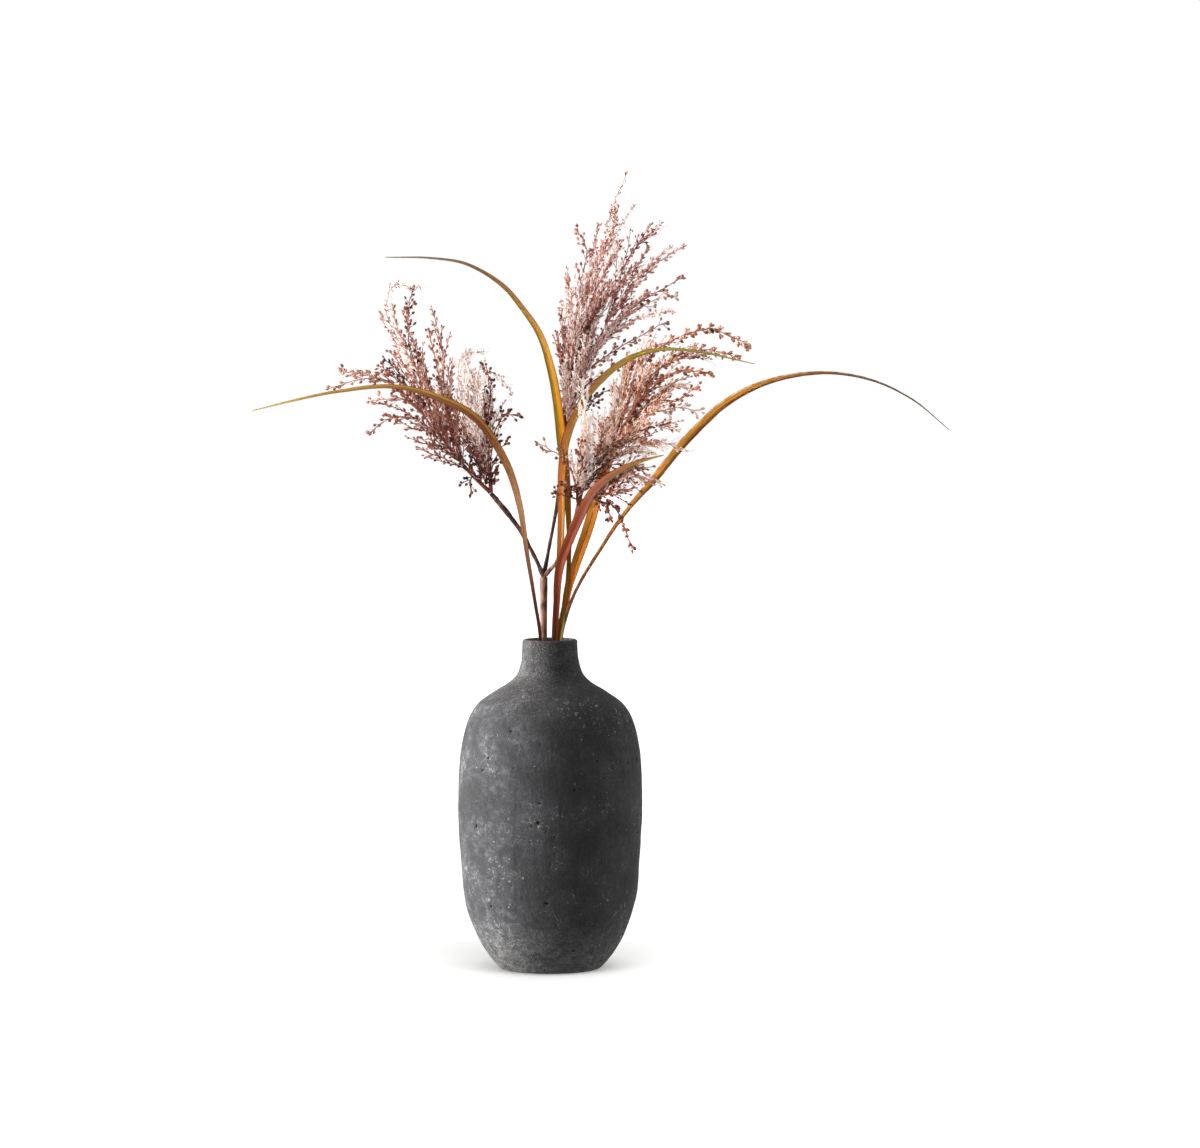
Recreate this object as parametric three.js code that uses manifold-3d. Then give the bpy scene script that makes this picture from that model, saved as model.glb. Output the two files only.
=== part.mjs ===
// A vase of dried grass: a matt black cement vase with a narrow neck, one woody stem that forks into three
// seed plumes, and six long grass blades that arch out of the mouth.
// Millimetres, +Z up, +X to the right and +Y away from the front. The origin is the centre of the vase's foot.

import * as THREE from "three";
import { mergeVertices } from "three/addons/utils/BufferGeometryUtils.js";
import Module from "manifold-3d";

const wasm = await Module();
wasm.setup();

// Driving dimensions
const VASE_HEIGHT = 256;
const VASE_RADIUS = 71.5;
const FOOT_RADIUS = 38;
const NECK_RADIUS = 21.3;
const BODY_WALL = 7;
const NECK_WALL = 4.4;
const FLOOR = 8;
const GAP = 0.35; // free space kept between neighbouring pieces
const STANDING_HEIGHT = FLOOR + GAP + 0.1; // height of the cut ends that stand on the vase's floor
const STEM_RADIUS = 2.6;
const BRANCH_RADIUS = 1.7;
const FORK_HEIGHT = 304;

// Materials, in the colours of the real finishes
const finish = (color, roughness) => new THREE.MeshStandardMaterial({ color, roughness, metalness: 0 });
const MATERIALS = {
  cement: finish(0x3a3a3c, 0.85),
  bark: finish(0x4a2f29, 0.7),
  plume: finish(0x8a5a50, 0.8),
  amberBlade: finish(0xb8741f, 0.6),
  oliveBlade: finish(0x8f6a24, 0.6),
  redBlade: finish(0x7c3426, 0.6),
};

const object = new THREE.Group();

function addNode(name, geometry, material) {
  const mesh = new THREE.Mesh(geometry, material);
  mesh.name = name;
  object.add(mesh);
}

// Solids: a closed mesh with merged corners, and back to a geometry
function solidOf(geometry) {
  const bare = new THREE.BufferGeometry().setAttribute("position", geometry.getAttribute("position"));
  if (geometry.index) bare.setIndex(geometry.index);
  const merged = mergeVertices(bare, 1e-3);
  return new wasm.Manifold(
    new wasm.Mesh({
      numProp: 3,
      vertProperties: merged.attributes.position.array,
      triVerts: new Uint32Array(merged.index.array),
    }),
  );
}

function geometryOf(solid) {
  const mesh = solid.getMesh();
  const geometry = new THREE.BufferGeometry();
  geometry.setAttribute("position", new THREE.BufferAttribute(new Float32Array(mesh.vertProperties), 3));
  geometry.setIndex(Array.from(mesh.triVerts));
  return geometry;
}

// Sweeps: a straight extrusion of a section is bent along a curve. sizeAt and turnAt give the section's scale and
// its turn about the curve, both as functions of the share of the way along it. A sweep with a value for grow is
// larger by that much all round and at both ends, to cut clear space out of a neighbour.
const DEPTH = new THREE.Vector3(0, 1, 0);

function sweep({ section, curve, steps, sizeAt, turnAt = () => 0, grow = 0 }) {
  const geometry = new THREE.ExtrudeGeometry(section, { depth: 1, steps, bevelEnabled: false });
  const position = geometry.getAttribute("position");
  const place = new THREE.Vector3();
  for (let i = 0; i < position.count; i += 1) {
    const share = Math.min(1, Math.max(0, position.getZ(i)));
    const size = sizeAt(share) + grow;
    const turn = turnAt(share);
    const tangent = curve.getTangent(share);
    const lengthen = grow * (Number(share === 1) - Number(share === 0));
    const back = DEPTH.clone().addScaledVector(tangent, -DEPTH.dot(tangent)).normalize();
    const across = back.clone().cross(tangent);
    const u = size * (position.getX(i) * Math.cos(turn) - position.getY(i) * Math.sin(turn));
    const v = size * (position.getX(i) * Math.sin(turn) + position.getY(i) * Math.cos(turn));
    place.copy(curve.getPoint(share)).addScaledVector(tangent, lengthen);
    place.addScaledVector(across, u).addScaledVector(back, v);
    position.setXYZ(i, place.x, place.y, place.z);
  }
  return geometry;
}

function polygonSection(sides) {
  const corners = Array.from({ length: sides }, (_, i) => {
    const angle = (2 * Math.PI * i) / sides;
    return new THREE.Vector2(Math.cos(angle), Math.sin(angle));
  });
  return new THREE.Shape(corners);
}

const curveThrough = (points) => new THREE.CatmullRomCurve3(points.map((p) => new THREE.Vector3(...p)));

// The value between the entries of a list at a share of the way along it
function between(values, share) {
  const at = share * (values.length - 1);
  const i = Math.min(values.length - 2, Math.floor(at));
  return THREE.MathUtils.lerp(values[i], values[i + 1], at - i);
}

// Vase: an outline turned about the upright axis, with a wall that thins into the neck and a thicker floor
const VASE_SIDES = 36;
const OUTLINE_STEPS = 16;
const LIP_ROUND = 1.8;
const SHOULDER_HEIGHT = 190;
const NECK_HEIGHT = 232;

function vaseGeometry() {
  const outline = new THREE.SplineCurve(
    [
      [FOOT_RADIUS + 2.6, 1.2],
      [49.1, 11.7],
      [58.5, 29],
      [66.5, 54],
      [70.4, 96],
      [VASE_RADIUS, 135],
      [70.1, 165],
      [65.2, 190],
      [57, 205],
      [43.8, 215],
      [31.8, 222.5],
      [25.1, 230],
      [22.2, 240],
      [NECK_RADIUS, VASE_HEIGHT - LIP_ROUND - 1],
    ].map(([r, z]) => new THREE.Vector2(r, z)),
  );
  const outer = outline.getPoints(OUTLINE_STEPS);
  const inner = outer
    .map((point, i) => {
      const tangent = outline.getTangent(i / OUTLINE_STEPS);
      const intoNeck = THREE.MathUtils.smoothstep(point.y, SHOULDER_HEIGHT, NECK_HEIGHT);
      const wall = THREE.MathUtils.lerp(BODY_WALL, NECK_WALL, intoNeck);
      return new THREE.Vector2(point.x - wall * tangent.y, point.y + wall * tangent.x);
    })
    .filter((point, i) => i % 2 === 0 && point.y > FLOOR + 4)
    .reverse();
  const profile = [
    new THREE.Vector2(0, 0),
    new THREE.Vector2(FOOT_RADIUS, 0),
    ...outer,
    new THREE.Vector2(NECK_RADIUS - 0.7, VASE_HEIGHT - 0.6),
    new THREE.Vector2(NECK_RADIUS - LIP_ROUND, VASE_HEIGHT),
    new THREE.Vector2(NECK_RADIUS - NECK_WALL + 0.8, VASE_HEIGHT - 0.6),
    ...inner,
    new THREE.Vector2(FOOT_RADIUS + 2, FLOOR + 1.5),
    new THREE.Vector2(FOOT_RADIUS - 4, FLOOR),
    new THREE.Vector2(0, FLOOR),
  ];
  return new THREE.LatheGeometry(profile, VASE_SIDES).rotateX(Math.PI / 2);
}

addNode("vase", geometryOf(solidOf(vaseGeometry())), MATERIALS.cement);

// Stem and branches: round, tapering, from the vase's floor to a fork just above the mouth
const ROUND = polygonSection(8);
const forkAt = [-5, 1, FORK_HEIGHT];
const insideFork = [-5, 1, FORK_HEIGHT - 3];

const STEM_ROUTE = [
  [-7, 1.5, STANDING_HEIGHT],
  [-5, 1, 150],
  [-5, 1, 255],
  forkAt,
];
const BRANCH_ROUTES = {
  left_branch: [insideFork, [-12, 1, 320], [-23, 2, 340], [-35, 4, 356], [-46, 6, 369]],
  upper_branch: [insideFork, [-2, 7, 321], [2, 13, 342], [5, 17, 359], [8, 22, 390], [10, 27, 416]],
  right_branch: [insideFork, [0, -1, 310], [5, -3, 316], [12, -3, 332], [19, -5, 350], [22, -8, 362]],
};

const KNUCKLE_LENGTH_SHARE = 0.15;
const KNUCKLE_SWELL = 0.4;
const BRANCH_FOOT_SWELL = 0.4;
const STEM_STEPS = 10;

function stemSolid(grow = 0) {
  const curve = curveThrough(STEM_ROUTE);
  const sizeAt = (share) => {
    const intoKnuckle = Math.max(0, share - 1 + KNUCKLE_LENGTH_SHARE) / KNUCKLE_LENGTH_SHARE;
    return STEM_RADIUS + KNUCKLE_SWELL * intoKnuckle;
  };
  return solidOf(sweep({ section: ROUND, curve, steps: STEM_STEPS, sizeAt, grow }));
}

function branchSolid(name, grow = 0) {
  const curve = curveThrough(BRANCH_ROUTES[name]);
  const sizeAt = (share) => BRANCH_RADIUS + BRANCH_FOOT_SWELL * (1 - share);
  return solidOf(sweep({ section: ROUND, curve, steps: STEM_STEPS, sizeAt, grow }));
}

// What is left of a solid beside its neighbours, without the slivers
function cutBy(solid, cutters) {
  const cut = cutters.reduce((left, cutter) => left.subtract(cutter), solid);
  const pieces = cut.decompose().sort((a, b) => b.volume() - a.volume());
  return pieces[0];
}

addNode("main_stem", geometryOf(stemSolid()), MATERIALS.bark);
const branchNames = Object.keys(BRANCH_ROUTES);
branchNames.forEach((name, i) => {
  const earlier = branchNames.slice(0, i).map((other) => branchSolid(other, GAP));
  const branch = cutBy(branchSolid(name), [stemSolid(GAP), ...earlier]);
  addNode(name, geometryOf(branch), MATERIALS.bark);
});

// Plumes: each fork has a main axis and sprays that leave it at a share of its length and run through the
// listed points to their tips. A spray is a slim spindle, the form of its twigs and seeds.
const SPRAY_SECTION = polygonSection(4);
const SPRAY_RADIUS = 2.1;
const SPRAY_TIP = 0.5;
const SPRAY_FOOT = 0.7;
const AXIS_SECTION = polygonSection(5);
const AXIS_TIP = 1.1;
const LAST_ROOT = 0.97; // the furthest along its axis that a spray starts, inside the axis's solid

const FORKS = {
  left_plume_outer_fork: {
    axis: [[-46.4, 6.1, 369.5], [-63, 4, 386], [-76, 2, 402], [-88, 1, 417], [-100, 0, 432]],
    sprays: [
      { from: 0.75, to: [[-108, -10, 428], [-125, -18, 427], [-137, -25, 417]] },
      { from: 0.95, to: [[-114, 6, 442], [-140, 10, 440]] },
      { from: 1, to: [[-129, 20, 456], [-147, 24, 461], [-162, 26, 463]] },
      { from: 1, to: [[-119, -15, 453], [-136, -24, 459], [-169, -32, 451]] },
      { from: 0.9, to: [[-115, 34, 452], [-134, 44, 467]] },
      { from: 0.6, to: [[-97, 0, 453], [-115, -5, 484], [-125, -12, 512], [-119, -16, 532], [-100, -20, 530]] },
      { from: 0.65, to: [[-105, 14, 468], [-111, 22, 503], [-107, 26, 526]] },
      { from: 0.7, to: [[-101, -20, 453], [-121, -32, 478]] },
      { from: 0.75, to: [[-116, 32, 473], [-133, 44, 508]] },
      { from: 0.4, to: [[-81, 12, 440], [-84, 20, 478], [-90, 24, 507]] },
      { from: 0.45, to: [[-84, -12, 453], [-93, -22, 495]] },
      { from: 0.5, to: [[-85, -12, 409], [-98, -18, 412]] },
      { from: 0.2, to: [[-62, -6, 378], [-61, -8, 371]] },
      { from: 0.55, to: [[-96, 40, 450], [-103, 62, 479]] },
      { from: 0.35, to: [[-79, 40, 433], [-78, 60, 464]] },
    ],
  },
  left_plume_inner_fork: {
    axis: [[-46, 6.1, 369.6], [-47, 7, 391], [-50, 8, 414], [-51, 9, 437], [-54, 10, 454]],
    sprays: [
      { from: 0.35, to: [[-67, 4, 437], [-71, 0, 463], [-67, -10, 477], [-53, -14, 479]] },
      { from: 0.3, to: [[-61, -18, 426], [-64, -26, 453], [-63, -30, 470]] },
      { from: 0.6, to: [[-55, 18, 464], [-41, 10, 460], [-30, 0, 448]] },
      { from: 0.55, to: [[-46, -10, 445], [-49, -16, 468]] },
      { from: 0.25, to: [[-42, -6, 418], [-35, -14, 430], [-24, -22, 430]] },
      { from: 0.18, to: [[-41, 10, 399], [-33, 14, 410]] },
      { from: 0.35, to: [[-42, 26, 431], [-48, 36, 458]] },
      { from: 0.15, to: [[-59, -8, 407], [-65, -16, 430]] },
      { from: 0.4, to: [[-57, 36, 433], [-62, 58, 460]] },
    ],
  },
  upper_plume_left_fork: {
    axis: [[10, 27.1, 416.2], [12, 28, 445], [15, 30, 480], [21, 32, 515]],
    sprays: [
      { from: 0.3, to: [[11, 18, 463], [10, 12, 489], [9, 8, 512]] },
      { from: 0.5, to: [[15, 46, 505], [13, 58, 533]] },
      { from: 0.95, to: [[25, 40, 538], [28, 46, 560], [21, 50, 572]] },
      { from: 0.9, to: [[31, 30, 526], [40, 26, 557], [47, 20, 587], [59, 14, 616]] },
      { from: 0.85, to: [[31, 52, 546], [37, 64, 577]] },
      { from: 0.8, to: [[35, 16, 542], [48, 6, 571], [52, 0, 590]] },
      { from: 0.8, to: [[42, 48, 551], [52, 58, 573], [65, 66, 592]] },
      { from: 0.6, to: [[37, 8, 530], [53, -6, 560]] },
      { from: 0.5, to: [[22, 8, 499], [23, -8, 526], [31, -14, 548]] },
    ],
  },
  upper_plume_right_fork: {
    axis: [[10.5, 27.2, 416.4], [23, 29, 452], [36, 30, 484], [49, 30, 511]],
    sprays: [
      { from: 0.95, to: [[56, 24, 542], [69, 16, 562], [79, 10, 571]] },
      { from: 0.9, to: [[61, 48, 530], [70, 58, 548], [76, 62, 559]] },
      { from: 0.95, to: [[67, 34, 531], [82, 30, 546], [102, 26, 560]] },
      { from: 0.85, to: [[64, 14, 530], [79, 4, 548], [91, -4, 559]] },
      { from: 0.7, to: [[59, 20, 512], [77, 12, 521], [101, 2, 536]] },
      { from: 0.75, to: [[65, 46, 509], [82, 56, 519], [97, 62, 522]] },
      { from: 0.65, to: [[70, 2, 505], [93, -12, 510]] },
      { from: 0.45, to: [[48, 24, 478], [69, 34, 490], [90, 42, 501]] },
      { from: 0.3, to: [[42, 10, 461], [56, 2, 468], [67, -2, 472]] },
      { from: 0.15, to: [[32, 16, 441], [49, 8, 452]] },
      { from: 0.12, to: [[26, 38, 434], [39, 50, 440]] },
    ],
  },
  right_plume_main_fork: {
    axis: [[22.1, -8.1, 362.2], [26, -10, 375], [37, -14, 391], [49, -18, 408], [60, -22, 427], [69, -25, 443]],
    sprays: [
      { from: 0.85, to: [[77, -18, 475], [105, -12, 492], [125, -9, 496], [143, -6, 489], [153, -4, 483]] },
      { from: 0.8, to: [[91, 4, 471], [120, 14, 480], [145, 20, 474]] },
      { from: 0.95, to: [[91, -35, 461], [109, -40, 465], [124, -44, 461]] },
      { from: 0.75, to: [[81, -34, 441], [97, -42, 442], [113, -48, 452]] },
      { from: 0.7, to: [[77, -14, 432], [98, -6, 435], [117, 0, 434]] },
      { from: 0.6, to: [[77, -42, 422], [91, -52, 423]] },
      { from: 0.45, to: [[69, -30, 407], [88, -38, 409], [101, -44, 404]] },
      { from: 0.9, to: [[70, -32, 455], [81, -34, 469]] },
      { from: 0.4, to: [[42, -30, 417], [49, -32, 434], [49, -30, 453]] },
      { from: 0.35, to: [[39, -40, 408], [39, -48, 423]] },
      { from: 0.5, to: [[69, -50, 427], [86, -72, 444]] },
      { from: 0.65, to: [[77, -4, 438], [94, 14, 453]] },
    ],
  },
  right_plume_left_fork: {
    axis: [[21.8, -8.6, 362.6], [20.5, -15, 374], [16, -22, 390]],
    sprays: [
      { from: 0.9, to: [[8, -27, 399], [-9, -30, 409]] },
      { from: 0.1, to: [[12, -19, 368], [5, -26, 371]] },
      { from: 0.35, to: [[16, -23, 373], [9, -31, 378]] },
      { from: 0.55, to: [[26, -28, 391], [28, -34, 415], [27, -37, 434], [26, -40, 451]] },
      { from: 0.5, to: [[25, -33, 396], [22, -40, 408]] },
    ],
  },
  right_plume_low_fork: {
    axis: [[22.6, -8.1, 362.6], [31, -10, 366], [37, -14, 364]],
    sprays: [
      { from: 0.95, to: [[49, -22, 360], [57, -30, 345], [63, -36, 328]] },
      { from: 0.8, to: [[44, -24, 359], [47, -28, 350]] },
      { from: 0.7, to: [[46, -22, 371], [59, -28, 372]] },
      { from: 0.6, to: [[48, -16, 379], [66, -22, 389], [79, -28, 382]] },
    ],
  },
};

// A spray swells from its foot to a third of its length and then thins out to its tip.
function spraySize(share) {
  const swell = Math.sin(Math.PI * Math.pow(share, 0.6));
  const foot = SPRAY_FOOT * Math.pow(1 - share, 2);
  return foot + SPRAY_TIP + (SPRAY_RADIUS - SPRAY_TIP) * swell;
}

function axisSolid(axis, grow) {
  const sizeAt = (share) => THREE.MathUtils.lerp(BRANCH_RADIUS, AXIS_TIP, share);
  const steps = axis.length + 2;
  return solidOf(sweep({ section: AXIS_SECTION, curve: curveThrough(axis), steps, sizeAt, grow }));
}

function spraySolid(axis, { from, to }, grow) {
  const root = curveThrough(axis).getPoint(Math.min(from, LAST_ROOT)).toArray();
  const curve = curveThrough([root, ...to]);
  return solidOf(sweep({ section: SPRAY_SECTION, curve, steps: to.length + 2, sizeAt: spraySize, grow }));
}

function forkSolid({ axis, sprays }, grow = 0) {
  const twigs = sprays.map((spray) => spraySolid(axis, spray, grow));
  return twigs.reduce((whole, twig) => whole.add(twig), axisSolid(axis, grow));
}

// Forks of one plume grow from the same branch end, so each is cut clear of those before it.
const PLUMES = [
  ["left_branch", ["left_plume_outer_fork", "left_plume_inner_fork"]],
  ["upper_branch", ["upper_plume_left_fork", "upper_plume_right_fork"]],
  ["right_branch", ["right_plume_main_fork", "right_plume_left_fork", "right_plume_low_fork"]],
];
for (const [branch, forkNames] of PLUMES) {
  forkNames.forEach((name, i) => {
    const earlier = forkNames.slice(0, i).map((other) => forkSolid(FORKS[other], GAP));
    const fork = cutBy(forkSolid(FORKS[name]), [branchSolid(branch, GAP), ...earlier]);
    addNode(name, geometryOf(fork), MATERIALS.plume);
  });
}

// Blades: a shallow gutter section, creased along its middle. A station is x, y, z, full width and turn in
// degrees; a turn of 0 faces the front, and a larger turn of either sign lays the blade flatter.
const FOLD = 0.36;
const EDGE_THICKNESS = 0.07;
const MIDDLE_THICKNESS = 0.14;
const BLADE_STEPS = 20;
const GUTTER = new THREE.Shape(
  [
    [-1, -FOLD - EDGE_THICKNESS],
    [0, -MIDDLE_THICKNESS],
    [1, -FOLD - EDGE_THICKNESS],
    [1, -FOLD + EDGE_THICKNESS],
    [0, MIDDLE_THICKNESS],
    [-1, -FOLD + EDGE_THICKNESS],
  ].map(([x, y]) => new THREE.Vector2(x, y)),
);

const BLADES = {
  left_blade: {
    material: MATERIALS.oliveBlade,
    stations: [
      [-18, -6, STANDING_HEIGHT, 3.4, 20],
      [-10, -5, 150, 3.4, 30],
      [-8, -5, 256, 3.2, 42],
      [-12, -9, 285, 3.4, 42],
      [-18, -14, 322, 4.2, 42],
      [-24, -22, 361, 6, 40],
      [-34, -32, 393, 7.2, 40],
      [-56, -45, 427, 7.6, 43],
      [-81, -55, 442, 7.4, 47],
      [-117, -66, 452, 6.2, 60],
      [-159, -75, 449, 4.4, 60],
      [-190, -81, 443, 3, 58],
      [-224, -86, 435, 1, 55],
    ],
  },
  tall_left_blade: {
    material: MATERIALS.amberBlade,
    stations: [
      [9, -1, STANDING_HEIGHT, 3.4, 0],
      [6.5, 0.5, 150, 3.4, 0],
      [6, 0.5, 255, 3.4, 10],
      [12.5, 3, 294, 3.6, 25],
      [14.2, 6, 325, 4.2, 35],
      [13.6, 9, 349, 5.2, 40],
      [11, 10, 387, 7.6, 30],
      [8, 12, 410, 8.4, 28],
      [5, 16, 436, 8.4, 35],
      [0, 24, 463, 8, 40],
      [-9, 33, 491, 7.2, 47],
      [-23, 42, 512, 6.4, 52],
      [-39, 50, 530, 5.6, 55],
      [-66, 57, 546, 4.4, 60],
      [-94, 62, 551, 3, 58],
      [-130, 66, 552, 1, 55],
    ],
  },
  arching_right_blade: {
    material: MATERIALS.oliveBlade,
    stations: [
      [1.5, -3, STANDING_HEIGHT, 3.6, 0],
      [2.5, -2.5, 150, 3.6, 0],
      [3, -2.5, 256, 3.6, -10],
      [5.6, -6, 295, 4.6, -18],
      [8, -8, 322, 5.4, -22],
      [9.2, -9, 350, 6.2, -28],
      [10, -10, 388, 7, -30],
      [14, -13, 414, 7.5, -32],
      [26, -20, 440, 7.4, -40],
      [42, -29, 459, 7, -43],
      [61, -38, 473, 6.2, -50],
      [83, -46, 480, 5, -60],
      [112, -55, 479, 3.6, -62],
      [156, -66, 470, 1, -58],
    ],
  },
  front_red_blade: {
    material: MATERIALS.redBlade,
    stations: [
      [4, -12, STANDING_HEIGHT, 4.2, 0],
      [4, -8.5, 150, 4.2, 0],
      [4, -8, 256, 4.2, 0],
      [5, -11, 282, 5, -5],
      [7.3, -16, 311, 6.6, -10],
      [13.2, -21, 329, 7.6, -15],
      [22.8, -31, 351, 8, -22],
      [34, -44, 372, 8, -35],
      [53, -58, 388, 6.4, -44],
      [70, -66, 396, 4, -48],
      [87, -72, 401, 1, -50],
    ],
  },
  long_right_blade: {
    material: MATERIALS.amberBlade,
    stations: [
      [17, 0, STANDING_HEIGHT, 3, 0],
      [10.5, 1.5, 150, 3, -20],
      [9, 2, 255, 3, -45],
      [12, 2, 271, 3.4, -40],
      [20, 2, 293, 4, -45],
      [39, 3, 325, 5, -50],
      [59, 7, 354, 6.6, -52],
      [81, 12, 379, 8.6, -42],
      [107, 18, 410, 8.6, -40],
      [139, 25, 439, 8, -46],
      [173, 32, 455, 6.8, -56],
      [214, 38, 461, 5.2, -66],
      [251, 42, 455.5, 3.6, -64],
      [283, 44, 440.5, 2.4, -60],
      [312, 45, 417, 1, -60],
    ],
  },
  upright_back_blade: {
    material: MATERIALS.amberBlade,
    stations: [
      [7, 4, STANDING_HEIGHT, 3.4, 0],
      [6.5, 4, 150, 3.4, 0],
      [6.5, 4, 255, 3.6, 0],
      [10, 6.5, 272, 4.6, 0],
      [14, 8, 295, 6.2, -5],
      [18, 9, 308, 7.2, -8],
      [30, 15, 343, 8.6, -10],
      [41, 24, 383, 8.4, -12],
      [50, 32, 407, 7.8, -14],
      [56, 40, 441, 5.6, -16],
      [60, 46, 478, 1.4, -18],
    ],
  },
};

for (const [name, { material, stations }] of Object.entries(BLADES)) {
  const halfWidths = stations.map((station) => station[3] / 2);
  const turns = stations.map((station) => THREE.MathUtils.degToRad(station[4]));
  const geometry = sweep({
    section: GUTTER,
    curve: curveThrough(stations.map((station) => station.slice(0, 3))),
    steps: BLADE_STEPS,
    sizeAt: (share) => between(halfWidths, share),
    turnAt: (share) => between(turns, share),
  });
  addNode(name, geometry, material);
}

export default object;
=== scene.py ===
"""Looks of a vase of dried grass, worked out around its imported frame.

A matt black cement vase holds one woody stem, which forks into three seed plumes, and six long dry blades.
Lengths here are millimetres until a mesh is written, which is in metres. +X is right, -Y faces the viewer and
+Z is up. The origin is the centre of the vase's foot.
"""

import logging
import math
from dataclasses import dataclass, field
from enum import Enum
from itertools import product
from typing import Sequence

import bpy
import numpy as np
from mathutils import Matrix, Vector

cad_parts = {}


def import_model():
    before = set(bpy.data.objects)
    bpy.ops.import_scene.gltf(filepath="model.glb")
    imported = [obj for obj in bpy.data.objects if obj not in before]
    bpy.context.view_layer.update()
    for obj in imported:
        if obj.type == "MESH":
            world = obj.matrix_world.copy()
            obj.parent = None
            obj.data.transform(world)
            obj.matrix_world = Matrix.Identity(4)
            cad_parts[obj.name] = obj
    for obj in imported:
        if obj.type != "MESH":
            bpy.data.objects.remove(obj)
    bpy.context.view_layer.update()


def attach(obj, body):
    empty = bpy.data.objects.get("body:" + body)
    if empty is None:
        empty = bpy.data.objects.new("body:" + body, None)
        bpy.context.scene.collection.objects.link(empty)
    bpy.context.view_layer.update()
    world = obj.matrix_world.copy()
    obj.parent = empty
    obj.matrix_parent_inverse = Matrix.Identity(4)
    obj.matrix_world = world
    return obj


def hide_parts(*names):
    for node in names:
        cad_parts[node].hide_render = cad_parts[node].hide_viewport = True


MM = 0.001
BODY = "root"
DEPTH = np.array([0.0, 1.0, 0.0])

# The feet of stem and blades, just clear of the vase's 8 mm floor.
STEM_FOOT = 8.5

log = logging.getLogger("dried_grass")


def linear_colour(hex_colour: str) -> tuple[float, float, float, float]:
    """Turn sRGB hex to linear: c / 12.92 below 0.04045, else ((c + 0.055) / 1.055) to the power 2.4.

    Args:
        hex_colour: the colour as "#rrggbb".

    Returns:
        Linear red, green, blue and an alpha of 1.
    """
    channels = (int(hex_colour[i : i + 2], 16) / 255 for i in (1, 3, 5))
    red, green, blue = (c / 12.92 if c < 0.04045 else ((c + 0.055) / 1.055) ** 2.4 for c in channels)
    return red, green, blue, 1.0


def smoothstep(low: float, high: float, value: np.ndarray) -> np.ndarray:
    """Rise from 0 at low to 1 at high as t * t * (3 - 2 t)."""
    t = np.clip((value - low) / (high - low), 0, 1)
    return t * t * (3 - 2 * t)


def unit(vectors: np.ndarray) -> np.ndarray:
    """Divide each vector by its length."""
    return vectors / np.maximum(np.linalg.norm(vectors, axis=-1, keepdims=True), 1e-9)


def spans(shares: np.ndarray, count: int) -> tuple[np.ndarray, np.ndarray]:
    """Find the span of an evenly shared line that each share falls in.

    Args:
        shares: where on the line, from 0 to 1.
        count: how many points the line has.

    Returns:
        The number of the point before each share, and how far on towards the next, as a column.
    """
    at = np.clip(shares, 0, 1) * (count - 1)
    before = np.minimum(at.astype(int), count - 2)
    return before, (at - before)[:, None]


def circles(ahead: np.ndarray, lead: np.ndarray, sides: int) -> np.ndarray:
    """Unit circles square to directions: side * cos a + up * sin a at each angle a.

    Args:
        ahead: the directions, as unit vectors.
        lead: the way each one goes as a whole. Its circle starts square to the axis that this follows least.
        sides: the number of places around.

    Returns:
        The circles, with places around and x, y and z last.
    """
    side = unit(np.cross(ahead, np.eye(3)[np.argmin(np.abs(lead), axis=-1)]))
    up = np.cross(ahead, side)
    angle = 2 * np.pi * np.arange(sides) / sides
    return side[..., None, :] * np.cos(angle)[:, None] + up[..., None, :] * np.sin(angle)[:, None]


def bands(number: np.ndarray) -> np.ndarray:
    """Four-cornered faces between each ring of vertex numbers and the next, rings and places around last."""
    low, high = number[..., :-1, :], number[..., 1:, :]
    return np.stack([low, np.roll(low, -1, -1), np.roll(high, -1, -1), high], axis=-1).reshape(-1, 4)


def fan(ring: np.ndarray, middle: int) -> np.ndarray:
    """Three-cornered faces from a ring of vertex numbers to one middle vertex."""
    return np.stack([ring, np.roll(ring, -1), np.full(len(ring), middle)], axis=-1)


def route(points: Sequence[Sequence[float]], shares: np.ndarray) -> np.ndarray:
    """Points on the smooth curve through a list of points, each span taking an even share of it.

    A span from b to c with neighbours a and d is the cubic with the end slopes
    (b-a)/g0 - (c-a)/(g0+g1) + (c-b)/g1 and (c-b)/g1 - (d-b)/(g1+g2) + (d-c)/g2, times g1,
    where g is the square root of each gap's length.

    Args:
        points: the points that the curve passes through.
        shares: where on the curve to look, from 0 to 1.

    Returns:
        One point for each share.
    """
    p = np.asarray(points, float)
    ends = np.vstack([2 * p[0] - p[1], p, 2 * p[-1] - p[-2]])
    i, t = spans(shares, len(p))
    a, b, c, d = (ends[i + k] for k in range(4))
    g0, g1, g2 = (np.sqrt(np.linalg.norm(r - q, axis=1))[:, None] for q, r in ((a, b), (b, c), (c, d)))
    slope_b = ((b - a) / g0 - (c - a) / (g0 + g1) + (c - b) / g1) * g1
    slope_c = ((c - b) / g1 - (d - b) / (g1 + g2) + (d - c) / g2) * g1
    fall = 2 * t**3 - 3 * t**2 + 1
    return fall * b + (1 - fall) * c + (t**3 - 2 * t**2 + t) * slope_b + (t**3 - t**2) * slope_c


def value_noise(points: np.ndarray, cell: float, seed: int) -> np.ndarray:
    """Smooth noise from -1 to 1: random values on a cubic lattice, blended by t * t * (3 - 2 t).

    Args:
        points: places in millimetres, with x, y and z last.
        cell: the lattice's spacing in millimetres.
        seed: picks the lattice's values.

    Returns:
        One value for each place.
    """
    scaled = points / cell
    corner = np.floor(scaled)
    t = scaled - corner
    t = t * t * (3 - 2 * t)
    total = np.zeros(points.shape[:-1])
    for step in product((0, 1), repeat=3):
        lattice = corner + np.array(step)
        mixed = np.sin(lattice @ np.array([127.1, 311.7, 74.7]) + seed * 19.19) * 43758.5453
        weight = np.prod(np.where(np.array(step) == 1, t, 1 - t), axis=-1)
        total += weight * (2 * (mixed - np.floor(mixed)) - 1)
    return total


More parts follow.
